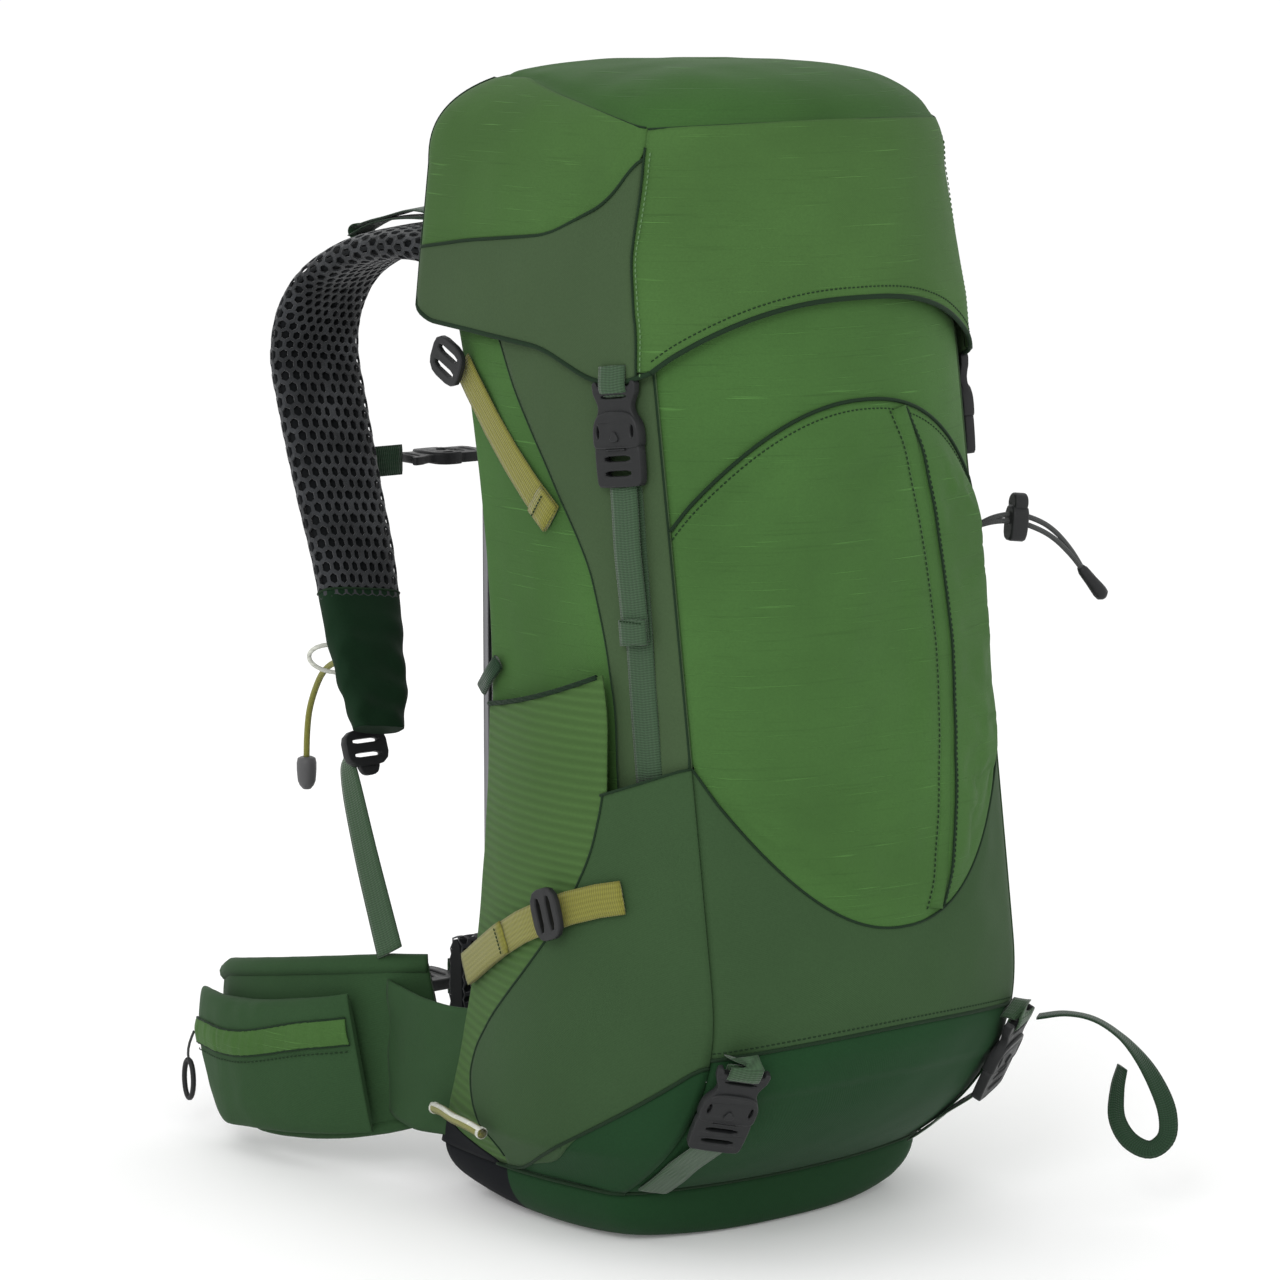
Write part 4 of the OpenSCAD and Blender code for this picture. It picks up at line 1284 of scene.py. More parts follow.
def plate(name, loops, thick, material, bevel=0.7, bow=0.0, back=0.0):
    """A moulded plate with round edges: loops are its outline and holes in X and Z."""
    curve = bpy.data.curves.new(name, "CURVE")
    curve.dimensions = "2D"
    curve.fill_mode = "BOTH"
    curve.extrude = thick / 2 - bevel
    curve.bevel_depth = bevel
    curve.bevel_resolution = 2
    for loop in loops:
        spline = curve.splines.new("POLY")
        spline.points.add(len(loop) - 1)
        for point, (x, z) in zip(spline.points, loop):
            point.co = (x, z, 0, 1)
        spline.use_cyclic_u = True
    stand_in = bpy.data.objects.new(name, curve)
    scene.collection.objects.link(stand_in)
    mesh = bpy.data.meshes.new_from_object(stand_in.evaluated_get(bpy.context.evaluated_depsgraph_get()))
    bpy.data.objects.remove(stand_in)
    points = []
    for v in mesh.vertices:
        x, z, y = v.co
        points.append((x, -y + back - bow * (1 - (x / 16) ** 2), z))
    faces = [tuple(f.vertices) for f in mesh.polygons]
    piece = make(name, points, faces, material)
    bpy.data.meshes.remove(mesh)
    return piece


def bar(name, x0, x1, z, radius, material, y=0.0):
    return tube(name, [(x, y, z) for x in spaced(x0, x1, 6)], radius, material, 10)


def socket(name, material):
    half = [(13.5, 0.4), (16.0, 1.0), (16.4, 6), (16.0, 12), (13.6, 17), (11.8, 20.5), (11.6, 24), (13.2, 28),
            (15.0, 31), (15.6, 36.6), (13.8, 37.4), (12.4, 33.8)]
    windows = [oval(12.9, 8.8, 2.3, 5.0), oval(-12.9, 8.8, 2.3, 5.0)]
    outer = soften(both_sides(half))
    slot = soften(box_loop(10.6, 27.2, 31.0), 1)
    body = both_sides([(13.5, 0.0), (15.9, 0.8), (16.2, 6), (15.6, 12), (12.5, 17.5), (6, 19.5)])
    parts = [plate(name + "_a", [outer, slot] + windows, 5.4, material, 0.9, 0.6),
             plate(name + "_b", [soften(body)] + windows, 8.0, material, 1.3, 0.8),
             bar(name + "_c", -12, 12, 32.6, 2.3, material),
             plate(name + "_d", [soften([(-3.2, 3.5), (3.2, 3.5), (0, 9.5)], 1)], 9.6, material, 0.5, 0.8)]
    return merged(name, parts)


def plug(name, material):
    half = [(13.8, -22.6), (15.4, -20.8), (15.9, -12), (15.9, -1.2), (14.6, -0.6)]
    slots = [soften(box_loop(10.8, -9.4, -4.4), 1), soften(box_loop(10.8, -18.0, -13.0), 1)]
    prong = [(9.4, -1.5), (13.4, -1.5), (14.2, 3), (14.3, 7.6), (12.6, 9.0), (10.8, 7.4), (9.8, 3)]
    parts = [plate(name + "_a", [soften(both_sides(half), 1)] + slots, 6.6, material, 1.0, 0.5),
             bar(name + "_b", -11.5, 11.5, -11.2, 2.2, material, -1.0),
             bar(name + "_c", -11.5, 11.5, -20.4, 2.0, material, -0.6)]
    for turn in (1, -1):
        shape = [(x * turn, z) for x, z in prong][::turn]
        parts.append(plate(name + "_p", [soften(shape, 1)], 3.6, material, 0.6))
    for k in (-1, 0, 1):
        parts.append(bar(name + "_r", -7, 7, -1.8 - 0.1 * k, 0.5, material, -3.9 + 0.3 * k))
    return merged(name, parts)


def turn(x=0, y=0, z=0):
    """OpenSCAD's rotate([x, y, z])."""
    return (Matrix.Rotation(math.radians(z), 4, "Z") @ Matrix.Rotation(math.radians(y), 4, "Y")
            @ Matrix.Rotation(math.radians(x), 4, "X"))


LID_STRAP_S, BUCKLE_Z, STRAP_TILT, BUCKLE_TURN = 0.13, 488, 7, 78
PAD_S, PAD_Z, PAD_TILT, PAD_TURN = 0.06, 98, 30, 24


def cad_skin(s, z, out):
    """A point off the frame's own wall, whose corners aren't rounded."""
    d = (outline(s + 0.01, z) - outline(s - 0.01, z)).normalized()
    p = outline(s, z) + out * Vector((d.y, -d.x))
    return Vector((p.x, p.y, z))


def at_lid_buckle(side):
    p = cad_skin(4 - LID_STRAP_S if side == LEFT else 1 + LID_STRAP_S, BUCKLE_Z, 7.5)
    return Matrix.Translation(p) @ turn(x=-STRAP_TILT) @ turn(z=side * BUCKLE_TURN)


def at_pad_buckle(side):
    p = cad_skin(PAD_S if side == LEFT else 1 - PAD_S, PAD_Z, 11)
    return Matrix.Translation(p) @ turn(x=PAD_TILT) @ turn(z=side * PAD_TURN)


def at_strap(side, z, out):
    """A point along a lid strap's straight run down the side."""
    p = cad_skin(1 + LID_STRAP_S, BUCKLE_Z, 7.5)
    a = math.radians(BUCKLE_TURN)
    n = Vector((side * math.sin(a), -math.cos(a), 0))
    return Vector((p.x * side, p.y - (BUCKLE_Z - z) * math.tan(math.radians(STRAP_TILT)), z)) + n * out, n


def across_row(name, p, across, n):
    """A short row of stitches across webbing."""
    places = [p + across * x for x in (-9, -4, 0, 4, 9)]
    return stitches(name, places, [n] * len(places), thread, 2.4, (1.9, 0.8, 0.5))


def lid_strap(side):
    name = SIDES[side]
    fit(place(socket(name + "_lid_buckle_socket", black_plastic), at_lid_buckle(side)), "lid",
        once(side, "lid_buckle_sockets"))
    fit(place(plug(name + "_lid_buckle_plug", black_plastic), at_lid_buckle(side)), name + "_lid_clip",
        [name + "_lid_plug"])
    over = [(0, -1.6, 47), (0, -2.8, 40), (0, -3.4, 35.5), (0, -2.6, 31.6), (0, 0.4, 29.4), (0, 3.0, 32),
            (0, 3.0, 38), (0, 2.0, 46)]
    loop = curve_through(over, 5)
    loop = ribbon(name + "_lid_buckle_loop", loop, [(0, -1, 0.01)] * len(loop), green_tape)
    fit(place(loop, at_lid_buckle(side)), "lid", once(side, "lid_buckle_webbing"))
    down = []
    normals = []
    for k in range(26):
        z = mix(470, 292, k / 25)
        p, n = at_strap(side, z, -5.2)
        surface = skin(mirrored(4 - LID_STRAP_S - 0.02, side), z, 3.4)
        p.x = mix(p.x, surface.x, 0.55 * ramp(-z, -430, -330))
        down.append(p)
        normals.append(n)
    strap = ribbon(name + "_lid_strap", down, normals, green_tape)
    fit(strap, nodes=once(side, "lid_straps"))
    tail = []
    for k in range(22):
        z = mix(467, 374, k / 21)
        p, n = at_strap(side, z, -0.4 + 0.9 * math.sin(k / 4.2) * ramp(-z, -460, -420))
        tail.append(p)
    fit(ribbon(name + "_lid_strap_tail", tail, normals[:22], green_tape, 20, 1.6), name + "_lid_clip",
        [name + "_lid_strap_tail"])
    fold = [at_strap(side, mix(388, 373, k / 5), 0.9)[0] for k in range(6)]
    fit(ribbon(name + "_lid_strap_fold", fold, normals[:6], green_tape, 20.4, 2.2), name + "_lid_clip")
    p, n = at_strap(side, 386.5, 2.0)
    row = across_row(name + "_lid_strap_stitches", p, Vector((-n.y, n.x, 0)), n)
    fit(row, name + "_lid_clip")


def pad_strap(side):
    name = SIDES[side]
    here = at_pad_buckle(side)
    fit(place(socket(name + "_pad_buckle_socket", black_plastic), here),
        nodes=once(side, "pad_strap_sockets"))
    fit(place(plug(name + "_pad_buckle_plug", black_plastic), here), name + "_pad_clip", [name + "_pad_plug"])
    s = PAD_S if side == LEFT else 1 - PAD_S
    root = skin(s, pad_seam(s) - 2, 3.4)
    loop = [root] + [here @ Vector(p) for p in ((0, -1.5, 42), (0, -3.6, 36), (0, -2.6, 31.8), (0, 0.4, 29.4),
                                                (0, 3.0, 32.5), (0, 3.2, 38))]
    n = (here.to_3x3() @ Vector((0, -1, 0.01))).normalized()
    path = curve_through(loop, 5)
    fit(ribbon(name + "_pad_strap_upper", path, [n] * len(path), green_tape),
        nodes=once(side, "pad_straps"))
    start = [here @ Vector(p) for p in ((0, 2.6, -8), (0, 0.6, -12), (0, 2.2, -20), (0, 3.4, -27))]
    below = [skin(s, z, 5.0) for z in (60, 50, 42, 37)]
    path = curve_through(start + below, 5)
    out_low = Vector((*outward(outline, s, 50), -0.7)).normalized()
    normals = [n.lerp(out_low, k / (len(path) - 1)) for k in range(len(path))]
    fit(ribbon(name + "_pad_strap_lower", path, normals, green_tape))


for side in SIDES:
    lid_strap(side)
    pad_strap(side)


# ---- Side straps, loops and the bungee ---------------------------------------------------
UPPER_STOPS = [(0.50, 440), (0.60, 455), (0.70, 472), (0.80, 491), (0.90, 513), (0.96, 528)]
LOWER_STOPS = [(0.22, 226), (0.30, 222), (0.40, 215), (0.50, 206), (0.60, 196), (0.70, 184), (0.80, 171),
               (0.90, 158), (0.97, 150)]


def side_band(name, side, stops, lift, material, thick=1.6, share=(0, 1)):
    stops = [(mix(a, b, k / 4), mix(c, d, k / 4))
             for (a, c), (b, d) in zip(stops, stops[1:]) for k in range(4)]
    first, last = round(share[0] * (len(stops) - 1)), round(share[1] * (len(stops) - 1))
    stops = stops[first:last + 1]
    path = [skin(mirrored(4 - u, side), z, lift(u, z)) for u, z in stops]
    normals = [flat_outward(mirrored(4 - u, side), z) for u, z in stops]
    if side == RIGHT:
        path.reverse()
        normals.reverse()
    return ribbon(name, path, normals, material, 20, thick), path, normals


def cross_stitches(name, path, normals, where):
    """A row of stitches across webbing, at the point numbered where."""
    d = tangents(path)[where]
    n = normals[where].normalized()
    return fit(across_row(name, path[where] + n * 1.6, d.cross(n).normalized(), n))


def tri_glide(name):
    outer = soften(box_loop(14.6, -12, 12))
    slots = [soften(box_loop(11, 2.2, 8.2), 1), soften(box_loop(11, -8.2, -2.2), 1)]
    return merged(name, [plate(name + "_a", [outer] + slots, 4.0, black_plastic, 0.9),
                         bar(name + "_b", -12, 12, 0, 1.9, black_plastic)])


def side_straps(side):
    name = SIDES[side]
    piece, path, normals = side_band(name + "_upper_compression_strap", side, UPPER_STOPS, always(3.6),
                                     olive_tape)
    fit(piece, nodes=once(side, "upper_compression_straps"))
    piece, path, normals = side_band(name + "_upper_strap_fold", side, UPPER_STOPS, always(5.4), olive_tape,
                                     1.8, (0, 0.16))
    fit(piece)
    cross_stitches(name + "_upper_strap_stitches", path, normals, -2 if side == LEFT else 1)
    piece, path, normals = side_band(name + "_lower_compression_strap", side, LOWER_STOPS,
                                     lambda u, z: stretch_gap(u, z) + 5.4, olive_tape)
    fit(piece, nodes=once(side, "lower_compression_straps"))
    piece, path, normals = side_band(name + "_lower_strap_fold", side, LOWER_STOPS,
                                     lambda u, z: stretch_gap(u, z) + 7.2, olive_tape, 1.8, (0.62, 1))
    fit(piece)
    cross_stitches(name + "_lower_strap_stitches", path, normals, 1 if side == LEFT else -2)
    top = Matrix.Translation(cad_skin(mirrored(3.03, side), 526, 11)) @ turn(z=side * 90) @ turn(y=-side * 25)
    fit(place(tri_glide(name + "_upper_slider"), top),
        nodes=once(side, "compression_strap_sliders"))
    low = Matrix.Translation(cad_skin(mirrored(3.54, side), 210, 30.4))
    low = low @ turn(z=side * 90) @ turn(y=-side * 70)
    fit(place(tri_glide(name + "_lower_slider"), low))


def tool_loops():
    route = [(122, -104, 128), (132, -118, 131), (144, -130, 128), (156, -140, 118), (166, -148, 104),
             (174, -154, 88), (180, -158, 70), (180, -158, 54), (172, -152, 46), (162, -144, 52),
             (156, -139, 66), (156, -139, 84), (158, -141, 98)]
    path = curve_through(route, 6)
    face = Vector((0.62, 0.78, 0))
    flat = [d.cross(face) for d in tangents(path)]
    turned = even([0, 0, 0.15, 0.5, 0.8, 0.9, 0.8, 0.5, 0.3])
    normals = [n.normalized().lerp(-face, table(k / (len(path) - 1), turned)) for k, n in enumerate(flat)]
    fit(ribbon("ice_axe_loop", path, normals, dark_tape, 12, 1.8), nodes=["ice_axe_loop"])
    stops = [(0.97, 58), (0.92, 60), (0.86, 62), (0.80, 63), (0.74, 64), (0.68, 65), (0.62, 65), (0.57, 64)]
    path = curve_through([cad_skin(3 + 1 - u, z, stretch_gap(u, z) + 11) for u, z in stops], 4)
    fit(tube("pole_loop", path, 3.4, olive_cord, 12), nodes=["pole_loop"])
    top = [p + Vector((-1.6, 0, 2.6)) for p in path]
    fit(tube("pole_loop_reflector", top, 1.5, reflector, 10))
    for k, end in enumerate((path[:2], path[-2:])):
        fit(tube(f"pole_loop_end_{k}", end, 3.8, reflector, 12))


BUNGEE_ROUTE = [(122, -44, 424), (131, -48, 426), (141, -51, 426), (150, -54, 424), (158, -56, 421),
                (166, -58, 417), (173, -60, 412), (180, -61, 406), (186, -62, 400), (192, -63, 393)]


def bungee():
    route = [Vector(p) for p in BUNGEE_ROUTE]
    path = curve_through(route, 4)
    lock = merged("bungee_lock", [
        plate("bungee_lock_a", [soften(box_loop(5.4, -10, 9)), oval(0, 0, 2.4, 2.4)], 11, black_plastic, 1.6),
        plate("bungee_lock_b", [oval(0, 12, 4.6, 4.8)], 9, black_plastic, 1.4)])
    place(lock, Matrix.Translation(Vector((146, -52.6, 425))) @ turn(y=6, z=-18) @ turn(z=90))
    fit(lock, nodes=["bungee_lock"])
    end = Matrix.Translation(Vector((192.6, -63.1, 392.2))) @ turn(y=138, z=-9)
    line = [end @ Vector((0, 0, z)) for z in (-3, 0, 4, 9, 14, 19, 22, 24)]
    widths = even([0.55, 0.8, 0.85, 0.9, 1.0, 1.08, 1.0, 0.55])
    pull = tube("bungee_pull", line, 4.3, black_plastic, 16, lambda u: table(u, widths))
    fit(pull, nodes=["bungee_pull"])
    whole = fit(tube("bungee_cord", path, 1.7, grey_cord, 10), nodes=["bungee_cord"])
    side = Vector((0.1, 0.2, 1)).normalized()
    twin = [p + side * 5.4 * math.sin(math.pi * k / (len(path) - 1)) ** 0.7 for k, p in enumerate(path)]
    second = fit(tube("bungee_cord_return", twin, 1.7, grey_cord, 10))
    for piece, run in ((whole, path), (second, twin)):
        lengths(run)[-1] * MM
        [tuple(p * MM) for p in run]


for side in SIDES:
    side_straps(side)
tool_loops()
bungee()


# ---- Harness -----------------------------------------------------------------------------
STRAP_ROUTE = [(-46, 212, 566), (-50, 238, 580), (-55, 268, 587), (-60, 300, 586), (-66, 332, 578),
               (-72, 360, 561), (-78, 374, 536), (-82, 374, 508), (-86, 360, 478), (-90, 344, 447),
               (-93, 329, 417), (-96, 313, 387), (-100, 299, 357), (-104, 286, 329), (-108, 273, 303),
               (-112, 262, 280)]
STRAP_WIDTHS = [46, 52, 56, 58, 60, 61, 62, 62, 61, 60, 58, 56, 53, 49, 43, 30]
STRAP_THICKS = [15] * 14 + [10.5, 10.5]
SLEEVE_START = 0.79


def side_path_of(route, side, per_span=5):
    """A left-hand route in mm, smoothed, and mirrored for the right."""
    return curve_through([Vector((-x * side, y, z)) for x, y, z in route], per_span)


def strap_faces(path):
    return [Vector((1, 0.08, 0.1)).cross(d).normalized() for d in tangents(path)]


def part_of(at, v0, v1):
    return lambda u, v: at(u, mix(v0, v1, v))


def evened(at, width, thick):
    round_to = even_turns(width, thick)
    return lambda u, v: at(round_to(u), v)


def shoulder_strap(side):
    name = SIDES[side] + "_shoulder_strap"
    path = side_path_of(STRAP_ROUTE, side)
    faces = strap_faces(path)
    stops = even(STRAP_WIDTHS), even(STRAP_THICKS)
    core = pad(name + "_foam", part_of(pad_surface(path, faces, *stops), 0.0, 0.86), foam_cloth, 40, 60)
    fit(core, "harness", [name])
    over = pad_surface(path, faces, *stops, grow=1.5)
    net = honeycomb(name + "_net", evened(part_of(over, 0.0, SLEEVE_START + 0.01), 62, 18), 20, 50, 0.70,
                    net_cloth, 1.3)
    fit(net, "harness")

    loose = pad_surface(path, faces, *stops, grow=2.7)

    def sleeve(u, v):
        share = mix(SLEEVE_START, 1.0, v)
        p = loose(u, share)
        fold = ripple(p, 16, 3) * 2.6 + math.sin(v * 26 + 2 * math.sin(u * 12)) * 0.9
        d = faces[min(round(share * (len(path) - 1)), len(path) - 1)]
        return p + d * fold * ramp(v, 0.08, 0.3)

    fit(pad(name + "_sleeve", sleeve, strap_cloth, 60, 70, 5), "harness")
    hem = [sleeve(k / 40, 0.0) for k in range(41)]
    fit(tube(name + "_sleeve_hem", hem, 0.8, piping_cloth, 6), "harness")
    edge = [over(0.5 if side == LEFT else 0.0, k / 60 * SLEEVE_START) for k in range(61)]
    fit(tube(name + "_piping", edge, 1.3, foam_cloth, 8), "harness")


def yoke():
    path = curve_through([Vector((0, 200.5, z)) for z in range(440, 561, 20)], 4)
    faces = [Vector((0, 1, 0))] * len(path)
    widths, thicks = even([120, 138, 146, 150, 152, 150, 136]), even([9] * 7)
    at = pad_surface(path, faces, widths, thicks)
    fit(pad("yoke_foam", at, foam_cloth, 40, 30), "harness", ["yoke"])
    over = pad_surface(path, faces, widths, thicks, grow=1.0)
    fit(honeycomb("yoke_net", evened(over, 148, 11), 40, 19, 0.66, net_cloth, 1.0), "harness")


LIFTER_ROUTE = [(-48, 200, 596), (-51, 225, 600), (-54, 255, 602), (-58, 290, 602), (-62, 322, 598),
                (-66, 346, 588)]
WEBBING_ROUTE = [(-117, 290, 262), (-119, 287, 254), (-122, 276, 234), (-127, 255, 200), (-132, 234, 170),
                 (-136, 217, 146)]


def lifter(side):
    name = SIDES[side] + "_load_lifter"
    path = side_path_of(LIFTER_ROUTE, side)
    fit(ribbon(name, path, strap_faces(path), dark_tape), "harness", once(side, "load_lifters"))
    over = [p + Vector((0, 0, 3.0 + 2.2 * math.sin(k * 0.55) * math.sin(math.pi * k / (len(path) - 1))))
            for k, p in enumerate(path)]
    top = over[9:-2]
    fit(ribbon(name + "_upper_layer", top, strap_faces(top), dark_tape, 21, 1.6), "harness")
    end = top[-1]
    turns = [0.2 * k for k in range(2, 19)]
    loop = [end + Vector((0, 9 * math.sin(a) - 1, 5 * math.cos(a) - 5)) for a in turns]
    faces = [Vector((0, math.sin(a), math.cos(a))) for a in turns]
    fit(ribbon(name + "_loop", loop, faces, dark_tape, 21, 1.5), "harness")


def strap_adjuster(side):
    name = SIDES[side]
    lock = merged(name + "_ladder_lock", [
        plate(name + "_a", [soften(box_loop(15, -11, 11)), soften(box_loop(11, 2.0, 7.0), 1),
                            soften(box_loop(11, -7.0, -2.0), 1)], 6.0, black_plastic, 1.1, 0.6),
        plate(name + "_b", [soften([(-8, -10), (8, -10), (5, -17), (-5, -17)])], 3.6, black_plastic, 0.9),
        bar(name + "_c", -12, 12, 0, 2.2, black_plastic, -0.6)])
    place(lock, Matrix.Translation(Vector((side * 113, 276, 266))) @ turn(x=-20))
    fit(lock, "harness", once(side, "strap_ladder_locks"))
    path = side_path_of(WEBBING_ROUTE, side, 8)
    low, high = Vector((0.95 * side, -0.3, 0.25)), Vector((0.5 * side, 0.6, 0.6))
    faces = [high.lerp(low, (k / (len(path) - 1)) ** 0.7) for k in range(len(path))]
    strap = ribbon(name + "_shoulder_webbing", path, faces, green_tape)
    if side == LEFT:
        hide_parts("shoulder_webbing")
    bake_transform(strap)


STOW_ROUTE = [(-106, 307, 316), (-105, 322, 314), (-104, 336, 306), (-103, 347, 293), (-103, 354, 278),
              (-103, 357, 262), (-103, 358, 246)]


def stow_loop():
    path = curve_through([Vector(p) for p in STOW_ROUTE], 4)
    shape = even([0.62, 0.9, 1.0, 1.0, 0.96, 0.9, 0.72, 0.4])
    line = [Vector((-103, 358, z)) for z in (247, 246, 243, 239, 235, 231, 228, 225.5)]
    toggle = tube("stow_toggle", line, 6.6, grey_plastic, 20, lambda u: table(u, shape))
    fit(toggle, "harness", ["stow_toggle"])
    cord = fit(tube("stow_cord", path, 2.1, olive_cord, 12), "harness", ["stow_cord"])
    lengths(path)[-1] * MM
    sideways = Vector((-0.86, 0.5, 0.1))
    turns = [2 * math.pi * k / 24 for k in range(25)]
    ring = [Vector((-118, 301, 321 + 9 * math.sin(a))) + sideways * 17 * math.cos(a) for a in turns]
    fit(tube("stow_cord_keeper", ring, 1.5, reflector, 8), "harness")


STERNUM = Vector((8, 352, 438))


def sternum_strap():
    across = [Vector((0, 1, 0))] * 7
    for node, body, x0, x1 in (("sternum_left_webbing", "sternum_left", -54, -29),
                               ("sternum_right_webbing", "sternum_right", 47, 54)):
        path = [Vector((x, STERNUM.y, STERNUM.z)) for x in spaced(x0, x1, 6)]
        fit(ribbon(node, path, across, dark_tape), body, [node])
    here = Matrix.Translation(STERNUM) @ turn(y=-90) @ turn(z=90)
    whistle = plate("whistle", [soften(box_loop(3.2, 5, 13))], 6.4, black_plastic, 0.8)
    place(whistle, Matrix.Translation(Vector((18.5, 0, 0))))
    half = merged("sternum_socket", [socket("sternum_socket_body", black_plastic), whistle])
    fit(place(half, here), "sternum_left", ["sternum_socket"])
    fit(place(plug("sternum_plug", black_plastic), here), "sternum_clip", ["sternum_plug"])


for side in SIDES:
    shoulder_strap(side)
    lifter(side)
    strap_adjuster(side)
yoke()
stow_loop()
sternum_strap()


# ---- Back: frame, mesh and pads ----------------------------------------------------------
def back():
    def net(u, v):
        return Vector((mix(-74, 74, u), 193.6, mix(76, 556, v)))

    sheet = grid("back_mesh", net, 30, 60, mesh_cloth)
    fit(solid(sheet, 0.8), nodes=["back_mesh"])
    fit(honeycomb("back_mesh_face", lambda u, v: net(u, v) + Vector((0, 1.4, 0)), 21, 78, 0.6, net_cloth, 0.7,
                  closed=False))
    path = [Vector((x, 203 + 4 * (x / 92) ** 2, 108)) for x in range(-92, 93, 4)]
    faces = [Vector((0, 1, 0))] * len(path)
    at = pad_surface(path, faces, even([84, 84]), even([14, 14]))
    fit(pad("lumbar_pad_foam", at, foam_cloth, 40, 40), nodes=["lumbar_pad"])
    over = pad_surface(path, faces, even([84, 84]), even([14, 14]), grow=1.0)
    fit(honeycomb("lumbar_pad_net", evened(over, 86, 16), 24, 27, 0.66, net_cloth, 1.0))
    half = [(-27, 202, 563), (-26, 205, 576), (-18, 208, 589)]
    loop = curve_through(half + [(0, 209, 595)] + [(-x, y, z) for x, y, z in reversed(half)], 6)
    fit(ribbon("haul_loop", loop, [Vector((p.x, 0, p.z - 560)).normalized() for p in loop], dark_tape, 12, 2),
        nodes=["haul_loop"])


back()


# ---- Hip belt ----------------------------------------------------------------------------
WING_ROUTE = [(-108, 200, 92), (-124, 214, 88), (-138, 234, 83), (-149, 258, 78), (-156, 286, 73),
              (-160, 314, 69), (-160, 340, 66), (-156, 364, 64), (-148, 384, 62)]
WING_HEIGHTS = [96, 104, 108, 110, 110, 108, 104, 98, 86]
HIP_ROUTE = [(-146, 388.5, 62), (-132, 404, 62), (-108, 418, 62), (-82, 426, 62), (-61, 430, 62)]
UPWARD = Vector((0, 0, 1))


def outward_faces(path):
    return [UPWARD.cross(d).normalized() for d in tangents(path)]


def slanted(at, middle, amount):
    """Cuts a wing's front end back at the bottom, as the real one's is."""
    def shape(u, v):
        p = at(u, v)
        low = min(0.0, (p.z - middle) / 50)
        p.y += amount * low * ramp(v, 0.55, 1.0)
        return p

    return shape


def hip_wing(side):
    name = SIDES[side] + "_hip_wing"
    path = side_path_of(WING_ROUTE, side)
    faces = [f * -side for f in outward_faces(path)]
    stops = even(WING_HEIGHTS)
    at = slanted(pad_surface(path, faces, stops, even([9.5, 9.5])), 66, 20)
    fit(pad(name, at, belt_cloth, 60, 70), SIDES[side] + "_wing", [name])
    top = slanted(pad_surface(path, faces, stops, even([9.5, 9.5]), grow=0.5), 66, 20)
    up_u = 0.0 if top(0.0, 0.5).z > top(0.5, 0.5).z else 0.5
    top_edge = [top(up_u, k / 80) - Vector((0, 0, 2.0)) for k in range(81)]
    fit(tube(name + "_rim", top_edge, 6.4, belt_cloth, 12), SIDES[side] + "_wing")
    foot = [top(0.5 - up_u, k / 80) + Vector((0, 0, 1.5)) for k in range(81)]
    fit(tube(name + "_foot", foot, 4.6, belt_cloth, 12), SIDES[side] + "_wing")
    return path, faces


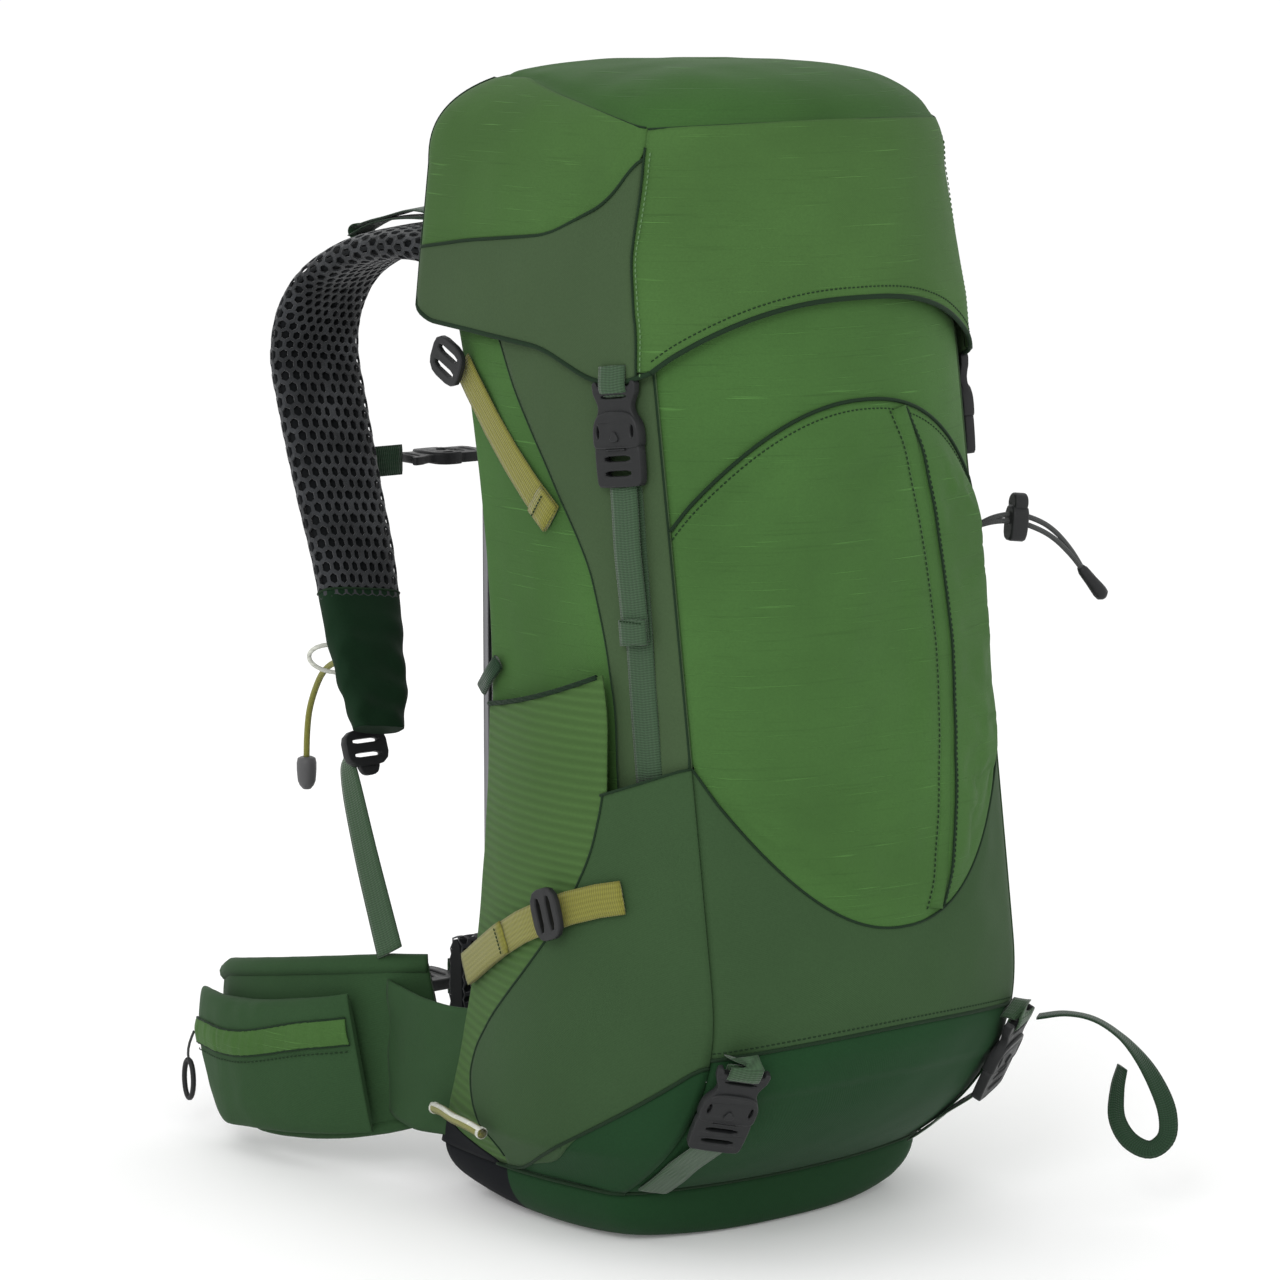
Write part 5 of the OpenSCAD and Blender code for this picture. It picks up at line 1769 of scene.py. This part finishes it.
def hip_pocket(side):
    name = SIDES[side] + "_hip_pocket"
    body = SIDES[side] + "_wing"
    whole = side_path_of(WING_ROUTE[2:], side)
    faces = [f * -side for f in outward_faces(whole)]
    path = [p + f * 16.2 - UPWARD * 8 for p, f in zip(whole, faces)]
    thicks = even([4, 13, 19, 21, 20, 17, 9])
    heights = even([90, 88, 86, 84, 84, 84, 82])
    plain = slanted(pad_surface(path, faces, heights, thicks), 62, 26)

    def at(u, v):
        p = plain(u, v)
        f = at_share(faces, v)
        lump = 1.6 * ripple(p, 34, 5) + 0.8 * ripple(p, 12, 8)
        return p + f * lump * math.sin(math.pi * v)

    pouch = pad(name, at, belt_cloth, 80, 90)
    fit(pouch, body, [name])
    out_u = 0.25 if (at(0.25, 0.5) - at(0.75, 0.5)).dot(faces[len(faces) // 2]) > 0 else 0.75
    sign = 1 if at(0.0, 0.5).z > at(0.5, 0.5).z else -1

    def at_height(h, v):
        """A point of the pocket's outer face, h above its middle."""
        x = min(0.995, abs(h) / 42)
        a = math.acos(x ** (1 / 0.55)) * (1 if h * sign > 0 else -1)
        u = a / (2 * math.pi) if h * sign > 0 else 0.5 + a / (2 * math.pi)
        return at(u if out_u == 0.25 else 1 - u, v)

    def strip_low(v):
        return 12 - 7 * v + 1.4 * math.sin(v * 9)

    def strip(u, v):
        h = strip_low(v) + 16 * u
        p = at_height(h, mix(0.02, 0.96, v))
        f = at_share(faces, v)
        gather = 1.3 * math.sin(math.pi * u) + 0.9 * ripple(Vector((p.y * 2.2, p.z * 0.4, 0)), 9, 4)
        return p + f * (1.0 + gather)

    band = grid(name + "_zip_strip", strip, 14, 110, lid_cloth)
    if side == LEFT:
        for face in band.data.polygons:
            face.flip()
    fit(solid(band, 1.0, 0.0), body)
    for k, u in enumerate((0.0, 1.0)):
        line = [strip(u, v / 60) for v in range(61)]
        fit(tube(f"{name}_strip_edge_{k}", line, 0.8, piping_cloth, 6), body)
    row = [at_height(strip_low(k / 60) - 4, mix(0.03, 0.95, k / 60)) + at_share(faces, k / 60) * 0.8
           for k in range(61)]
    fit(stitches(name + "_stitches", row, [at_share(faces, k / 60) for k in range(61)], thread, 3.4), body)
    tip = strip(0.4, 1.0)
    string = [tip + Vector((side * 3 * math.sin(k * 0.5), 2 + k * 0.9, -4 * k)) for k in range(6)]
    fit(tube(name + "_pull_string", string, 0.9, grey_cord, 8), body)
    low = string[-1]
    ring = [low + Vector((0, 5.5 * math.sin(a), -13 + 13 * math.cos(a))) for a in spaced(0, 2 * math.pi, 24)]
    fit(tube(name + "_pull_loop", ring, 1.8, black_plastic, 8), body)


def hip_webbing(side):
    node = SIDES[side] + "_hip_webbing"
    path = side_path_of(HIP_ROUTE, side)
    fit(ribbon(node, path, outward_faces(path), dark_tape, 25, 1.8), SIDES[side] + "_wing", [node])


def belt_gusset(side):
    """The gathered cloth between the bag's rear corner and the root of the belt's wing."""
    def at(u, v):
        z = mix(40, 126, v) - 3 * math.sin(math.pi * u)
        bag = skin(mirrored(3.10, side), z, 1.0)
        wing = Vector((side * 134, 222, z + 2))
        p = bag.lerp(wing, u)
        p.x += side * (5 * math.sin(math.pi * u) + 2.2 * ripple(Vector((u * 30, z * 0.35, 0)), 8, 6))
        return p

    piece = grid(SIDES[side] + "_belt_gusset", at, 24, 24, belt_cloth)
    solid(piece, 1.2, 0.0)
    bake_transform(piece)


for side in SIDES:
    hip_wing(side)
    hip_pocket(side)
    hip_webbing(side)
    belt_gusset(side)
for half, node, body, x in ((socket, "left_hip_socket", "left_wing", -16),
                            (plug, "right_hip_plug", "right_wing", 33)):
    here = Matrix.Translation(Vector((x, 431, 62))) @ turn(y=-90) @ turn(z=90) @ Matrix.Scale(1.2, 4)
    fit(place(half(node, black_plastic), here), body, [node])
for node, look in (("frame", rod_metal), ("collar_cord_lock", black_plastic)):
    for slot in bpy.data.objects[node].material_slots:
        slot.material = look


# ---- Floor -------------------------------------------------------------------------------
floor = grid("floor", lambda u, v: Vector((mix(-40000, 40000, u), mix(-40000, 40000, v), -0.5)), 2, 2,
             white_floor)
